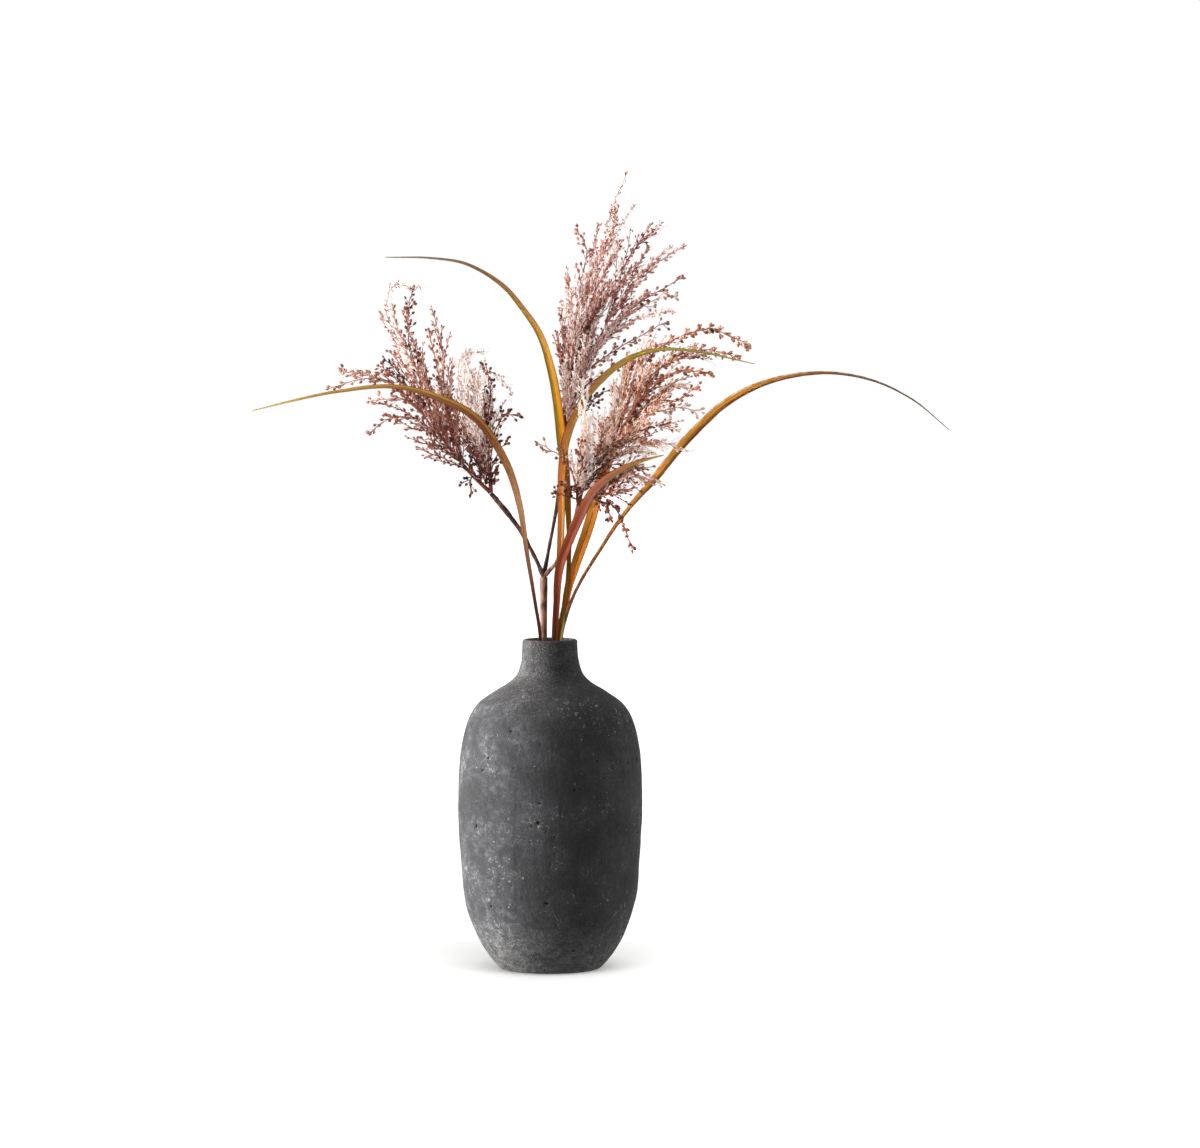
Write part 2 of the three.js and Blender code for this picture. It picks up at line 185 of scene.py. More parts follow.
@dataclass
class Surface:
    """A closed mesh in millimetres.

    Args:
        vertices: one row of x, y and z for each vertex.
        faces: arrays of vertex numbers, one row a face, each array with faces of one size.
        traits: named values, one for each vertex, that a material reads.
    """

    vertices: np.ndarray
    faces: list[np.ndarray]
    traits: dict[str, np.ndarray] = field(default_factory=dict)

    @staticmethod
    def joined(parts: Sequence["Surface"]) -> "Surface":
        """Put surfaces side by side in one mesh.

        Args:
            parts: the surfaces, all with the same traits.

        Returns:
            One surface with every part's faces.
        """
        starts = np.cumsum([0] + [len(part.vertices) for part in parts[:-1]])
        faces = [rows + start for part, start in zip(parts, starts) for rows in part.faces]
        names = parts[0].traits
        traits = {name: np.concatenate([part.traits[name] for part in parts]) for name in names}
        return Surface(np.vstack([part.vertices for part in parts]), faces, traits)

    def to_object(self, name: str, material: bpy.types.Material, smooth: bool = True) -> bpy.types.Object:
        """Write the surface to a Blender object at the origin, in metres.

        Args:
            name: the object's name.
            material: its finish.
            smooth: whether it is shaded smooth.

        Returns:
            The new object, linked to the scene.
        """
        mesh = bpy.data.meshes.new(name)
        mesh.vertices.add(len(self.vertices))
        mesh.vertices.foreach_set("co", (self.vertices * MM).astype(np.float32).ravel())
        sizes = np.concatenate([np.full(len(rows), rows.shape[1]) for rows in self.faces])
        corners = np.concatenate([rows.ravel() for rows in self.faces])
        mesh.loops.add(len(corners))
        mesh.loops.foreach_set("vertex_index", corners.astype(np.int32))
        mesh.polygons.add(len(sizes))
        mesh.polygons.foreach_set("loop_start", (np.cumsum(sizes) - sizes).astype(np.int32))
        mesh.polygons.foreach_set("use_smooth", np.full(len(sizes), smooth))
        for trait, values in self.traits.items():
            layer = mesh.attributes.new(trait, "FLOAT", "POINT")
            layer.data.foreach_set("value", values.astype(np.float32))
        mesh.update(calc_edges=True)
        mesh.validate()
        mesh.materials.append(material)
        piece = bpy.data.objects.new(name, mesh)
        bpy.context.scene.collection.objects.link(piece)
        return piece


def tubes(paths: np.ndarray, radii: np.ndarray, sides: int, traits: dict[str, np.ndarray]) -> Surface:
    """Round tubes along many paths: path + radius * (side * cos a + up * sin a) at each angle a.

    Args:
        paths: tubes by steps by x, y and z.
        radii: tubes by steps.
        sides: the number of flats around.
        traits: named values, tubes by steps.

    Returns:
        One surface with a cap on every end.
    """
    count, steps = radii.shape
    rings = circles(unit(np.gradient(paths, axis=1)), paths[:, -1:] - paths[:, :1], sides)
    vertices = paths[:, :, None] + radii[:, :, None, None] * rings
    number = np.arange(count * steps * sides).reshape(count, steps, sides)
    caps = np.vstack([number[:, 0, ::-1], number[:, -1]])
    spread = {name: np.repeat(values.ravel(), sides) for name, values in traits.items()}
    return Surface(vertices.reshape(-1, 3), [bands(number), caps], spread)


@dataclass(frozen=True)
class Budform:
    """The outline of one dry seed, as shares of its length and width.

    Args:
        outline: radius and height of each ring, from the foot to the pointed tip.
        sides: the number of flats around.
    """

    outline: tuple[tuple[float, float], ...] = ((0.30, 0.04), (0.95, 0.30), (0.88, 0.58), (0.36, 0.86))
    sides: int = 5

    def grown(self, feet: np.ndarray, ahead: np.ndarray, sizes: np.ndarray, tone: np.ndarray) -> Surface:
        """Many seeds: foot + ahead * length * height + ring * width / 2 * radius, a point at each end.

        Args:
            feet: where each seed starts.
            ahead: which way each seed points, as unit vectors.
            sizes: each seed's length and width.
            tone: each seed's tone, which darkens towards its tip.

        Returns:
            One surface with all seeds.
        """
        count, rings = len(feet), len(self.outline)
        ring = circles(ahead, ahead, self.sides)
        radius, height = np.array(self.outline).T
        length, width = sizes[:, 0, None, None], sizes[:, 1, None, None]
        centre = feet[:, None] + ahead[:, None] * length * height[:, None]
        body = centre[:, :, None] + ring[:, None] * (width / 2 * radius[:, None])[..., None]
        tips = feet + ahead * sizes[:, :1]
        vertices = np.concatenate([body.reshape(count, -1, 3), feet[:, None], tips[:, None]], axis=1)
        number = np.arange(rings * self.sides).reshape(rings, self.sides)
        each = number.size + 2
        start = each * np.arange(count)[:, None, None]
        below, above = fan(number[0], each - 2)[:, [1, 0, 2]], fan(number[-1], each - 1)
        fade = np.concatenate([np.repeat(height, self.sides), [0.0, 1.0]])
        tones = tone[:, None] * (1.1 - 0.75 * smoothstep(0.35, 1.0, fade))
        faces = [(start + rows).reshape(-1, rows.shape[1]) for rows in (bands(number), below, above)]
        return Surface(vertices.reshape(-1, 3), faces, {"tone": tones.ravel()})


# Materials


@dataclass(frozen=True)
class Pattern:
    """A number or colour at every place of a surface. Nodes work out its sums and products.

    Args:
        output: the node output that gives it.
    """

    output: bpy.types.NodeSocket

    def worked(self, operation: str, first: "Pattern | float", second: "Pattern | float") -> "Pattern":
        """Work out one number from two."""
        settings = {"operation": operation, 0: first, 1: second}
        return Pattern(add_node(self.output.id_data, "ShaderNodeMath", settings).outputs[0])

    def __add__(self, other: "Pattern | float") -> "Pattern":
        """Add a pattern or a number."""
        return self.worked("ADD", self, other)

    def __sub__(self, other: "Pattern | float") -> "Pattern":
        """Take away a pattern or a number."""
        return self.worked("SUBTRACT", self, other)

    def __mul__(self, other: "Pattern | float") -> "Pattern":
        """Multiply by a pattern or a number."""
        return self.worked("MULTIPLY", self, other)

    def __abs__(self) -> "Pattern":
        """Drop the sign."""
        return self.worked("ABSOLUTE", self, 0.0)

    def turned(self) -> "Pattern":
        """Turn 0 to 1 and 1 to 0."""
        return self.worked("SUBTRACT", 1.0, self)

    def clamped(self) -> "Pattern":
        """Keep the last result from 0 to 1."""
        self.output.node.use_clamp = True
        return self

    def rise(self, low: float, high: float, unit_size: float = 1.0) -> "Pattern":
        """Turn it to a smooth step from 0 at low to 1 at high.

        Args:
            low: where the step starts.
            high: where it ends, below low for a step down.
            unit_size: the unit of both, such as MM for a place on the object.

        Returns:
            The step, from 0 to 1.
        """
        ends = {"From Min": low * unit_size, "From Max": high * unit_size}
        settings = {"interpolation_type": "SMOOTHSTEP", "Value": self} | ends
        return Pattern(add_node(self.output.id_data, "ShaderNodeMapRange", settings).outputs["Result"])


def feed(
    entry: bpy.types.NodeSocket, value: "Pattern | bpy.types.NodeSocket | str | float | Sequence[float]"
) -> None:
    """Give a node's input its value.

    Args:
        entry: the input.
        value: a pattern or output that feeds it, an sRGB hex colour, or a plain value.
    """
    source = value.output if isinstance(value, Pattern) else value
    if isinstance(source, bpy.types.NodeSocket):
        entry.id_data.links.new(source, entry)
    else:
        entry.default_value = linear_colour(value) if isinstance(value, str) else value


def add_node(tree: bpy.types.NodeTree, kind: str, settings: dict | None = None) -> bpy.types.Node:
    """Add one shader node.

    Args:
        tree: the node tree that it goes in.
        kind: the node's type name.
        settings: attributes by name, and what feeds its inputs by their name or number.

    Returns:
        The new node.
    """
    made = tree.nodes.new(kind)
    for key, value in (settings or {}).items():
        if isinstance(key, str) and hasattr(made, key):
            setattr(made, key, value)
        else:
            feed(made.inputs[key], value)
    return made


@dataclass
class Shading:
    """A material under construction, with the few patterns that all finishes here are mixed from.

    Args:
        name: the material's name, after what it is made of.
        ior: its refractive index. Cement, bark and dry leaves all lie near 1.45.
    """

    name: str
    ior: float = 1.45

    def __post_init__(self) -> None:
        """Start an empty tree with one Principled shader on the output."""
        self.material = bpy.data.materials.new(self.name)
        self.material.use_nodes = True
        self.tree = self.material.node_tree
        self.tree.nodes.clear()
        self.shader = add_node(self.tree, "ShaderNodeBsdfPrincipled")
        add_node(self.tree, "ShaderNodeOutputMaterial", {"Surface": self.shader.outputs["BSDF"]})
        self.place = self.add("ShaderNodeTexCoord", "Object")

    def add(self, kind: str, output: str | int, settings: dict | None = None) -> Pattern:
        """Add a node to this material and give one of its outputs."""
        return Pattern(add_node(self.tree, kind, settings).outputs[output])

    def trait(self, name: str) -> Pattern:
        """Read a value that the mesh carries."""
        return self.add("ShaderNodeAttribute", "Fac", {"attribute_name": name})

    def noise(
        self, size: float, detail: float = 3.0, stretch: Sequence[float] = (1, 1, 1), rough: float = 0.6
    ) -> Pattern:
        """Noise in the object's own space.

        Args:
            size: the size of its largest features in millimetres.
            detail: how many finer layers it has.
            stretch: how many times longer the features are along x, y and z.
            rough: how strong the finer layers are, from 0 to 1.

        Returns:
            The noise, from 0 to 1.
        """
        scale = [1 / (size * MM * s) for s in stretch]
        placed = self.add("ShaderNodeMapping", 0, {"Scale": scale, "Vector": self.place})
        settings = {"Scale": 1.0, "Detail": detail, "Roughness": rough, "Vector": placed}
        return self.add("ShaderNodeTexNoise", "Fac", settings)

    def cells(self, size: float, warp: float) -> tuple[Pattern, Pattern]:
        """Cells in the object's own space, bent by a noise as large as they are.

        Args:
            size: the cells' size in millimetres.
            warp: how far they are bent, as a share of their size.

        Returns:
            The distance from each cell's middle as a share of its size, and a random number for each cell.
        """
        scale = {"Scale": 1 / (size * MM)}
        bend = self.add("ShaderNodeTexNoise", "Color", scale | {"Detail": 3.0, "Vector": self.place})
        settings = {"operation": "MULTIPLY_ADD", 0: bend, 1: (size * MM * warp,) * 3, 2: self.place}
        placed = self.add("ShaderNodeVectorMath", 0, settings)
        made = add_node(self.tree, "ShaderNodeTexVoronoi", scale | {"Vector": placed}).outputs
        return Pattern(made["Distance"]), self.add("ShaderNodeSeparateColor", "Red", {"Color": made["Color"]})

    def ramp(self, value: Pattern, stops: Sequence[tuple[float, str]]) -> Pattern:
        """Turn a value to a colour.

        Args:
            value: from 0 to 1.
            stops: places and sRGB hex colours, in order.

        Returns:
            The colour.
        """
        made = self.add("ShaderNodeValToRGB", "Color", {"Fac": value})
        elements = made.output.node.color_ramp.elements
        for element, (position, colour) in zip(elements, (stops[0], stops[-1])):
            element.position, element.color = position, linear_colour(colour)
        for position, colour in stops[1:-1]:
            elements.new(position).color = linear_colour(colour)
        return made

    def coat(self, share: Pattern, under: Pattern | str, over: Pattern | str, blend: str = "MIX") -> Pattern:
        """Lay one colour over another.

        Args:
            share: how much of it shows, from 0 to 1.
            under: the colour below, a pattern or an sRGB hex colour.
            over: the colour on top, a pattern or an sRGB hex colour.
            blend: how the two are mixed.

        Returns:
            The mixed colour.
        """
        settings = {"data_type": "RGBA", "blend_type": blend, 0: share, 6: under, 7: over}
        return Pattern(add_node(self.tree, "ShaderNodeMix", settings).outputs[2])

    def dress(self, settings: dict) -> bpy.types.Material:
        """Give the shader's inputs their values.

        Args:
            settings: what feeds each input, by the input's name.

        Returns:
            The finished material.
        """
        for name, value in settings.items():
            feed(self.shader.inputs[name], value)
        return self.material

    def matt(
        self, colour: Pattern, roughness: Pattern, reliefs: Sequence[tuple[Pattern, float]], specular: float
    ) -> bpy.types.Material:
        """Finish a dull, dry surface.

        Args:
            colour: its colour.
            roughness: its roughness.
            reliefs: heights from 0 to 1 and their depths in millimetres, one laid on the other.
            specular: how strong its weak gloss is, 0.5 being full.

        Returns:
            The finished material.
        """
        normal = {}
        for height, depth in reliefs:
            settings = {"Strength": 1.0, "Distance": depth * MM, "Height": height}
            normal = {"Normal": self.add("ShaderNodeBump", 0, settings | normal)}
        flat = {"IOR": self.ior, "Specular IOR Level": specular}
        return self.dress(flat | normal | {"Base Color": colour, "Roughness": roughness})


@dataclass(frozen=True)
class CastCement:
    """Cement cast in a mould and stained black: dead matt, pitted by air bubbles, chalky where rubbed. Its
    colour holds painted light, paler towards the lit left side and the foot, and painted shade on the
    shoulder's right side and inside the pits, with painted highlights on their rims.

    Real sand grains are 0.1 to 0.3 mm. The grain is drawn coarser here, so that it shows from a step away.

    Args:
        stain: the stain over most of it.
        drip: where stain ran down and dried darker.
        painted_shoulder_shade: painted shade on the shoulder's right side, away from the lamp.
        worn: where the stain is thin.
        chalk_and_painted_light: a chalky film that hands rub up, laid thicker on the lit left side and at the
            foot as painted light.
        grit_and_painted_light: bare grains of sand, laid more on the neck's lit side and at the foot as
            partly painted light, and a painted highlight round the rims of the large pits.
        foot_dust_and_bounce_light: pale dust low on the foot, more on the lit left side, partly painted
            bounce light from below.
        scuff_and_rim_highlight: fine scuffs, and the painted highlight on the rims of small pits.
        pit_shade_and_specks: painted shade inside the pits, and dark specks in the grain.
        cloud_size: how large the worn patches are, in millimetres.
        grain_size: the grain, in millimetres.
        pit_spacing: how far apart the small pits are, in millimetres.
        streak_width: how wide the drips are, in millimetres.
        wisp_size: how large the wisps of chalk are, in millimetres.
        dust_size: how large the dusty spots are, in millimetres.
        curl_size: how large the curls of the scuffs are, in millimetres.
    """

    stain: str = "#3e3e40"
    drip: str = "#303032"
    painted_shoulder_shade: str = "#29292a"
    worn: str = "#4e4e51"
    chalk_and_painted_light: str = "#8a8c92"
    grit_and_painted_light: str = "#8c867b"
    foot_dust_and_bounce_light: str = "#8a8a8b"
    scuff_and_rim_highlight: str = "#cdc6b8"
    pit_shade_and_specks: str = "#121112"
    cloud_size: float = 30.0
    grain_size: float = 0.85
    pit_spacing: float = 5.0
    streak_width: float = 4.0
    wisp_size: float = 6.0
    dust_size: float = 3.0
    curl_size: float = 7.0

    def material(self) -> bpy.types.Material:
        """Build the material: stain, drips, painted shade on the shoulder, a chalky film, dust and grains
        laid paler on the lit side and at the foot as partly painted light, curled scuffs, and pits with
        painted shade and highlights.
        """
        s = Shading("cast_cement_stained_black")
        x, z = (s.add("ShaderNodeSeparateXYZ", axis, {"Vector": s.place}) for axis in "XZ")
        clouds = s.noise(self.cloud_size, detail=6)
        streaks = s.noise(self.streak_width, detail=4, stretch=(1, 1, 12))
        grain = s.noise(self.grain_size, detail=2)
        wisps = s.noise(self.wisp_size, detail=9, stretch=(1.5, 1.5, 1), rough=0.8)
        dust = s.noise(self.dust_size, detail=5)
        # Masks: its left side, towards the lamp (left and rubbed), where marks are laid paler, partly real
        # rubbing and partly painted light; its neck and shoulder; and its foot.
        left = (x * -1.0).rise(-10, 50, MM)
        rubbed = x.rise(45, -25, MM)
        shoulder = z.rise(150, 200, MM)
        neck = z.rise(195, 224, MM)
        foot = z.rise(50, 12, MM)
        # The neck, mostly its lit left side: the marks laid here are partly painted light.
        lit_side_of_neck = neck * (rubbed * 0.8 + 0.05)
        ends = lit_side_of_neck.worked("MAXIMUM", lit_side_of_neck, foot)
        colour = s.coat(clouds.rise(0.35, 0.65), self.stain, self.worn)
        colour = s.coat(streaks.rise(0.52, 0.3) * 0.55, colour, self.drip)
        # Painted shade: the shoulder's right side, away from the lamp, is darkened.
        colour = s.coat(rubbed.turned() * shoulder * 0.75, colour, self.painted_shoulder_shade)
        film = wisps.rise(0.46, 0.62) * clouds.rise(0.36, 0.6) * (grain.rise(0.4, 0.6) + 0.55)
        # A chalky film, thicker on the lit left side and at the foot: partly painted light from the lamp and
        # from below.
        colour = s.coat(film * (left * 0.3 + foot * 0.34 + 0.07), colour, self.chalk_and_painted_light)
        # Pale dust at the foot, more on the lit left side: partly painted bounce light from below.
        colour = s.coat(foot * (wisps.rise(0.36, 0.62) * (rubbed * 0.34 + 0.2)), colour, self.foot_dust_and_bounce_light)
        # Bare grains, more on the neck's lit side and at the foot: partly painted light.
        grains = grain.rise(0.5, 0.62) * wisps.rise(0.3, 0.6)
        colour = s.coat(grains * (ends * 0.62 + 0.16), colour, self.grit_and_painted_light)
        colour = s.coat(grain.rise(0.46, 0.32) * (ends * 0.4 + 0.3), colour, self.pit_shade_and_specks)
        # Scuffs follow the level lines of a smooth noise, so that they curl.
        level_lines = abs(s.noise(self.curl_size, detail=1) - 0.5).rise(0.034, 0.016)
        bare = clouds.rise(0.54, 0.61) * dust.rise(0.51, 0.56)
        colour = s.coat(level_lines * bare * 0.36, colour, self.scuff_and_rim_highlight)
        # Some cells hold one of the small pits, its radius up to 0.13 of the spacing, dark inside as painted
        # shade, its rim pale in places as a painted highlight.
        distance, chance = s.cells(self.pit_spacing, warp=0.12)
        hollow = chance.rise(0.6, 1.0) * 0.13 - distance
        inside = hollow.rise(0.0, 0.04)
        rim = (hollow.rise(-0.09, -0.02) - inside).clamped()
        rim_highlight = rim * chance.rise(0.62, 0.76) * dust.rise(0.44, 0.56)
        # Painted highlight on the rims of small pits.
        colour = s.coat(rim_highlight * 0.6, colour, self.scuff_and_rim_highlight)
        # Painted shade inside the small pits.
        colour = s.coat(inside, colour, self.pit_shade_and_specks)
        # The large pits are in the mesh, pale round their rims as a painted highlight and dark inside as
        # painted shade.
        dent = s.trait("dent")
        colour = s.coat(dent.rise(0.02, 0.2) * dust.rise(0.5, 0.7), colour, self.grit_and_painted_light)
        colour = s.coat(dent.rise(0.2, 0.5), colour, self.pit_shade_and_specks)
        reliefs = ((inside.turned(), 0.6), (grain, 0.5), (dust, 0.5))
        return s.matt(colour, dust.rise(-1.6, 1.0), reliefs, specular=0.3)


@dataclass(frozen=True)
class TwigBark:
    """Dry twig bark: thin, brown, wrinkled along the twig, with pinkish streaks where its skin has rubbed.

    Args:
        name: the material's name.
        shadow: the colour of its grooves.
        skin: its own colour.
        rubbed: where its skin has worn off.
        wrap_turns: how many times its wrapping winds round the whole stem, 0 for none.
        ribs: how many dark ribs it has around.
    """

    name: str
    shadow: str
    skin: str
    rubbed: str
    wrap_turns: float = 0.0
    ribs: float = 5.0

    def material(self) -> bpy.types.Material:
        """Build the material: lengthwise wrinkles, rubbed streaks, and ribs that the wrapping slants."""
        s = Shading(self.name)
        turns = s.trait("along") * self.wrap_turns + s.trait("around") * self.ribs
        fine = s.noise(0.9, detail=4, stretch=(1, 1, 6))
        patches = s.noise(5.0, detail=3, stretch=(1, 1, 3))
        colour = s.coat(fine.rise(0.35, 0.65), self.shadow, self.skin)
        colour = s.coat(patches.rise(0.45, 0.62) * 0.8, colour, self.rubbed)
        ridge = turns.worked("PINGPONG", turns, 0.5).rise(0.05, 0.32)
        colour = s.coat(ridge.turned() * 0.6, colour, self.shadow)
        wound = ((ridge, 0.35),) if self.wrap_turns else ()
        return s.matt(colour, patches.rise(-0.9, 1.4), (*wound, (fine, 0.3)), specular=0.2)


@dataclass(frozen=True)
class DryBlade:
    """A dry grass leaf: satin, ribbed along its length, browned at the foot and thin golden green at the tip.

    Real ribs lie 0.2 to 0.4 mm apart. They are drawn wider here, so that they show.

    Args:
        name: the material's name.
        stops: its colours along its length, from foot to tip.
        strip: the colour of the strip along one of its edges.
        strip_side: the edge that has the strip, 1 for right and -1 for left.
        strip_start: how far out the strip starts, from 0 at the crease to 1 at the edge.
        crease: the dark colour of its crease, also painted shade in the troughs between ribs.
        crease_share: how strong the crease is.
        strip_from: the share of the length where the strip starts.
        frayed: whether the other edge is torn and bleached.
        edge: the darker colour along its edges.
        torn: the bleached fibres of a torn edge.
        painted_rib_sheen: the painted sheen on the tops of the ribs, as a grey that lightens.
        rib_spacing: how far apart its ribs are, in millimetres.
    """

    name: str
    stops: tuple[tuple[float, str], ...]
    strip: str
    strip_side: float
    strip_start: float = 0.25
    crease: str = "#4a2d12"
    crease_share: float = 0.5
    strip_from: float = 0.0
    frayed: bool = False
    edge: str = "#3c2108"
    torn: str = "#f8e6bc"
    painted_rib_sheen: str = "#8f8f8f"
    rib_spacing: float = 0.75

    @staticmethod
    def grain(s: Shading, width: float, length: float, detail: float) -> Pattern:
        """Noise in the leaf's own plane.

        Args:
            s: the material.
            width: how wide its features are, in millimetres.
            length: how long they are, in millimetres.
            detail: how many finer layers it has.

        Returns:
            The noise, from 0 to 1.
        """
        leaf = s.add("ShaderNodeCombineXYZ", 0, {"X": s.trait("offset"), "Y": s.trait("reach")})
        placed = s.add("ShaderNodeMapping", 0, {"Scale": (1 / width, 1 / length, 1.0), "Vector": leaf})
        return s.add("ShaderNodeTexNoise", "Fac", {"Scale": 1.0, "Detail": detail, "Vector": placed})

    def material(self) -> bpy.types.Material:
        """Build the material: colour along the leaf, a strip on one side, ribs with painted shade and sheen,
        flecks and a dark crease.
        """
        s = Shading(self.name)
        along, across = s.trait("along"), s.trait("across")
        ribs = self.grain(s, self.rib_spacing, 38.0, detail=3.0)
        flecks = self.grain(s, 1.25, 6.25, detail=4.0)
        wander = (flecks - 0.5) * 0.12
        colour = s.ramp((along + wander).clamped(), self.stops)
        towards = across * self.strip_side
        band = (towards + wander * 2.0).rise(self.strip_start, self.strip_start + 0.35)
        begun = along.rise(self.strip_from, self.strip_from + 0.2)
        colour = s.coat(band * begun * 0.85, colour, self.strip)
        # Ribs: painted shade in their troughs and a painted sheen on their tops.
        colour = s.coat(ribs.rise(0.5, 0.3) * 0.3, colour, self.crease)
        colour = s.coat(ribs.rise(0.5, 0.75) * 0.8, colour, self.painted_rib_sheen, "DODGE")
        dark_line = abs(across).rise(0.11, 0.02) * flecks.rise(0.42, 0.55)
        colour = s.coat(dark_line * self.crease_share, colour, self.crease)
        outward = towards if self.frayed else abs(across)
        colour = s.coat(outward.rise(0.76, 0.98) * 0.7, colour, self.edge)
        if self.frayed:
            fibres = outward.rise(-0.5, -0.9) * flecks.rise(0.46, 0.54)
            colour = s.coat(fibres * 0.6, colour, self.torn)
        return s.matt(colour, flecks.rise(-0.75, 1.35), ((ribs, 0.22),), specular=0.12)


@dataclass(frozen=True)
class DrySeedhead:
    """Dry seeds, twigs and hairs of a grass plume: matt, from maroon through copper to pale pinkish straw.

    Args:
        name: the material's name.
        stops: its colours from the darkest tone to the palest.
        mottle: how far spots and drifts of colour shift the tone.
    """

    name: str
    stops: tuple[tuple[float, str], ...]
    mottle: float = 0.5

    def material(self) -> bpy.types.Material:
        """Build the material: each piece's own tone, broken by mottling about as large as a seed."""
        s = Shading(self.name)
        spots = s.noise(1.6, detail=3)
        drift = s.noise(14.0, detail=2)
        tone = s.trait("tone") + (spots + drift - 1.0) * self.mottle
        colour = s.ramp(tone.clamped(), self.stops)
        return s.matt(colour, spots.rise(-0.8, 1.6), ((spots, 0.25),), specular=0.14)


# Vase


@dataclass
class CementVase:
    """The bottle vase, its sizes in millimetres, and its air-bubble pits.

    Args:
        height: from foot to lip.
        belly: the largest radius.
        foot: the radius of the flat foot.
        neck: the outer radius at the lip.
        lip_round: how high the lip's rounding stands.
        body_wall: the wall below the shoulder.
        neck_wall: the wall in the neck.
        floor: the floor's thickness.
        sides: steps around the vase.
        rows: steps up its outside.
        inner_rows: steps down its inside.
        seed: picks the scattered pits.
        scattered_pits: how many pits there are beside the listed ones.
        pits: azimuth from the front in degrees, height, radius and depth of the pits that stand out.
    """

    height: float = 256.0
    belly: float = 71.5
    foot: float = 38.0
    neck: float = 21.3
    lip_round: float = 2.0
    body_wall: float = 7.0
    neck_wall: float = 4.4
    floor: float = 8.0
    sides: int = 500
    rows: int = 170
    inner_rows: int = 16
    seed: int = 11
    scattered_pits: int = 90
    pits: tuple[tuple[float, float, float, float], ...] = (
        (-27, 190, 1.0, 0.9),
        (-71.6, 148, 1.0, 0.9),
        (-47, 159, 1.1, 0.7),
        (-34.5, 159, 1.0, 0.6),
        (-20.5, 135, 1.0, 0.6),
        (-7, 121, 1.4, 0.8),
        (-5.9, 136, 1.0, 0.6),
        (3, 110, 1.0, 0.6),
        (-53, 115, 1.4, 0.8),
        (15.8, 146, 1.0, 0.7),
        (-1, 58, 1.2, 0.6),
        (55, 200, 1.2, 0.9),
        (77, 193, 1.4, 1.0),
        (73, 165, 1.2, 0.9),
        (73, 108, 1.1, 0.8),
        (-42.6, 169, 1.0, 0.8),
        (-43, 54, 1.2, 0.8),
    )

    def outer(self, count: int) -> tuple[np.ndarray, np.ndarray]:
        """The outside's outline: a cubic through its points, 0.5 * (2b + (c-a)t + (2a-5b+4c-d)t2 + ...).

        Args:
            count: how many points to give.

        Returns:
            The points as radius and height, and the unit directions along the outline.
        """
        outline = np.array(
            [
                [self.foot + 2.6, 1.2],
                [49.1, 11.7],
                [58.5, 29],
                [66.5, 54],
                [70.4, 96],
                [self.belly, 135],
                [70.1, 165],
                [65.2, 190],
                [57, 205],
                [43.8, 215],
                [31.8, 222.5],
                [25.1, 230],
                [22.2, 240],
                [self.neck, self.height - self.lip_round - 0.8],
            ]
        )
        ends = np.vstack([outline[0], outline, outline[-1]])
        i, t = spans(np.linspace(0, 1, count), len(outline))
        a, b, c, d = (ends[i + k] for k in range(4))
        bend = (2 * a - 5 * b + 4 * c - d, 3 * b - a - 3 * c + d)
        points = 0.5 * (2 * b + (c - a) * t + bend[0] * t**2 + bend[1] * t**3)
        along = unit((c - a) + 2 * bend[0] * t + 3 * bend[1] * t**2)
        return points, along

    def profile(self) -> tuple[np.ndarray, np.ndarray]:
        """The whole outline from the foot's edge over the lip to the floor's edge.

        Returns:
            The points as radius and height, and how much of the weathering each one takes, from 0 to 1.
        """
        dense, _ = self.outer(2400)
        length = np.concatenate([[0], np.cumsum(np.linalg.norm(np.diff(dense, axis=0), axis=1))])
        even = np.interp(np.linspace(0, length[-1], self.rows), length, np.arange(len(dense)))
        outside = np.stack([np.interp(even, np.arange(len(dense)), dense[:, k]) for k in (0, 1)], axis=1)
        points, along = self.outer(self.inner_rows)
        into_neck = smoothstep(190, 232, points[:, 1])[:, None]
        wall = self.body_wall + (self.neck_wall - self.body_wall) * into_neck
        inside = points + wall * np.stack([-along[:, 1], along[:, 0]], axis=1)
        inside = inside[inside[:, 1] > self.floor + 4][::-1]
        middle = self.neck - self.neck_wall / 2
        turn = np.linspace(0.1, np.pi - 0.1, 9)[:, None]
        lip_height = self.height - self.lip_round + np.sin(turn) * self.lip_round
        lip = np.hstack([middle + np.cos(turn) * self.neck_wall / 2, lip_height])
        foot = np.array([[self.foot, 0.0], [self.foot + 1.4, 0.3]])
        sink = np.array([[self.foot + 2, self.floor + 1.5], [self.foot - 4, self.floor]])
        smooth_inside = np.zeros(len(inside) + len(sink))
        weathered = np.concatenate([[0.3, 0.9], np.ones(len(outside)), np.full(len(lip), 0.5), smooth_inside])
        return np.vstack([foot, outside, lip, inside, sink]), weathered

    def surface(self) -> Surface:
        """Turn the outline about the upright axis and sink lumps, pits and chips in the foot into it.

        Returns:
            The closed vase, with the pits' depth as the trait dent.
        """
        outline, weathered = self.profile()
        angle = 2 * np.pi * np.arange(self.sides) / self.sides
        out = np.stack([np.sin(angle), -np.cos(angle), np.zeros_like(angle)], axis=1)
        skin = outline[:, 0, None, None] * out + outline[:, 1, None, None] * np.array([0, 0, 1])
        # Height and size of the casting's lumps, from broad to fine.
        casting = ((0.35, 21, 3), (0.16, 6, 4), (0.07, 2.2, 5))
        lumps = sum(height * value_noise(skin, size, seed) for height, size, seed in casting)
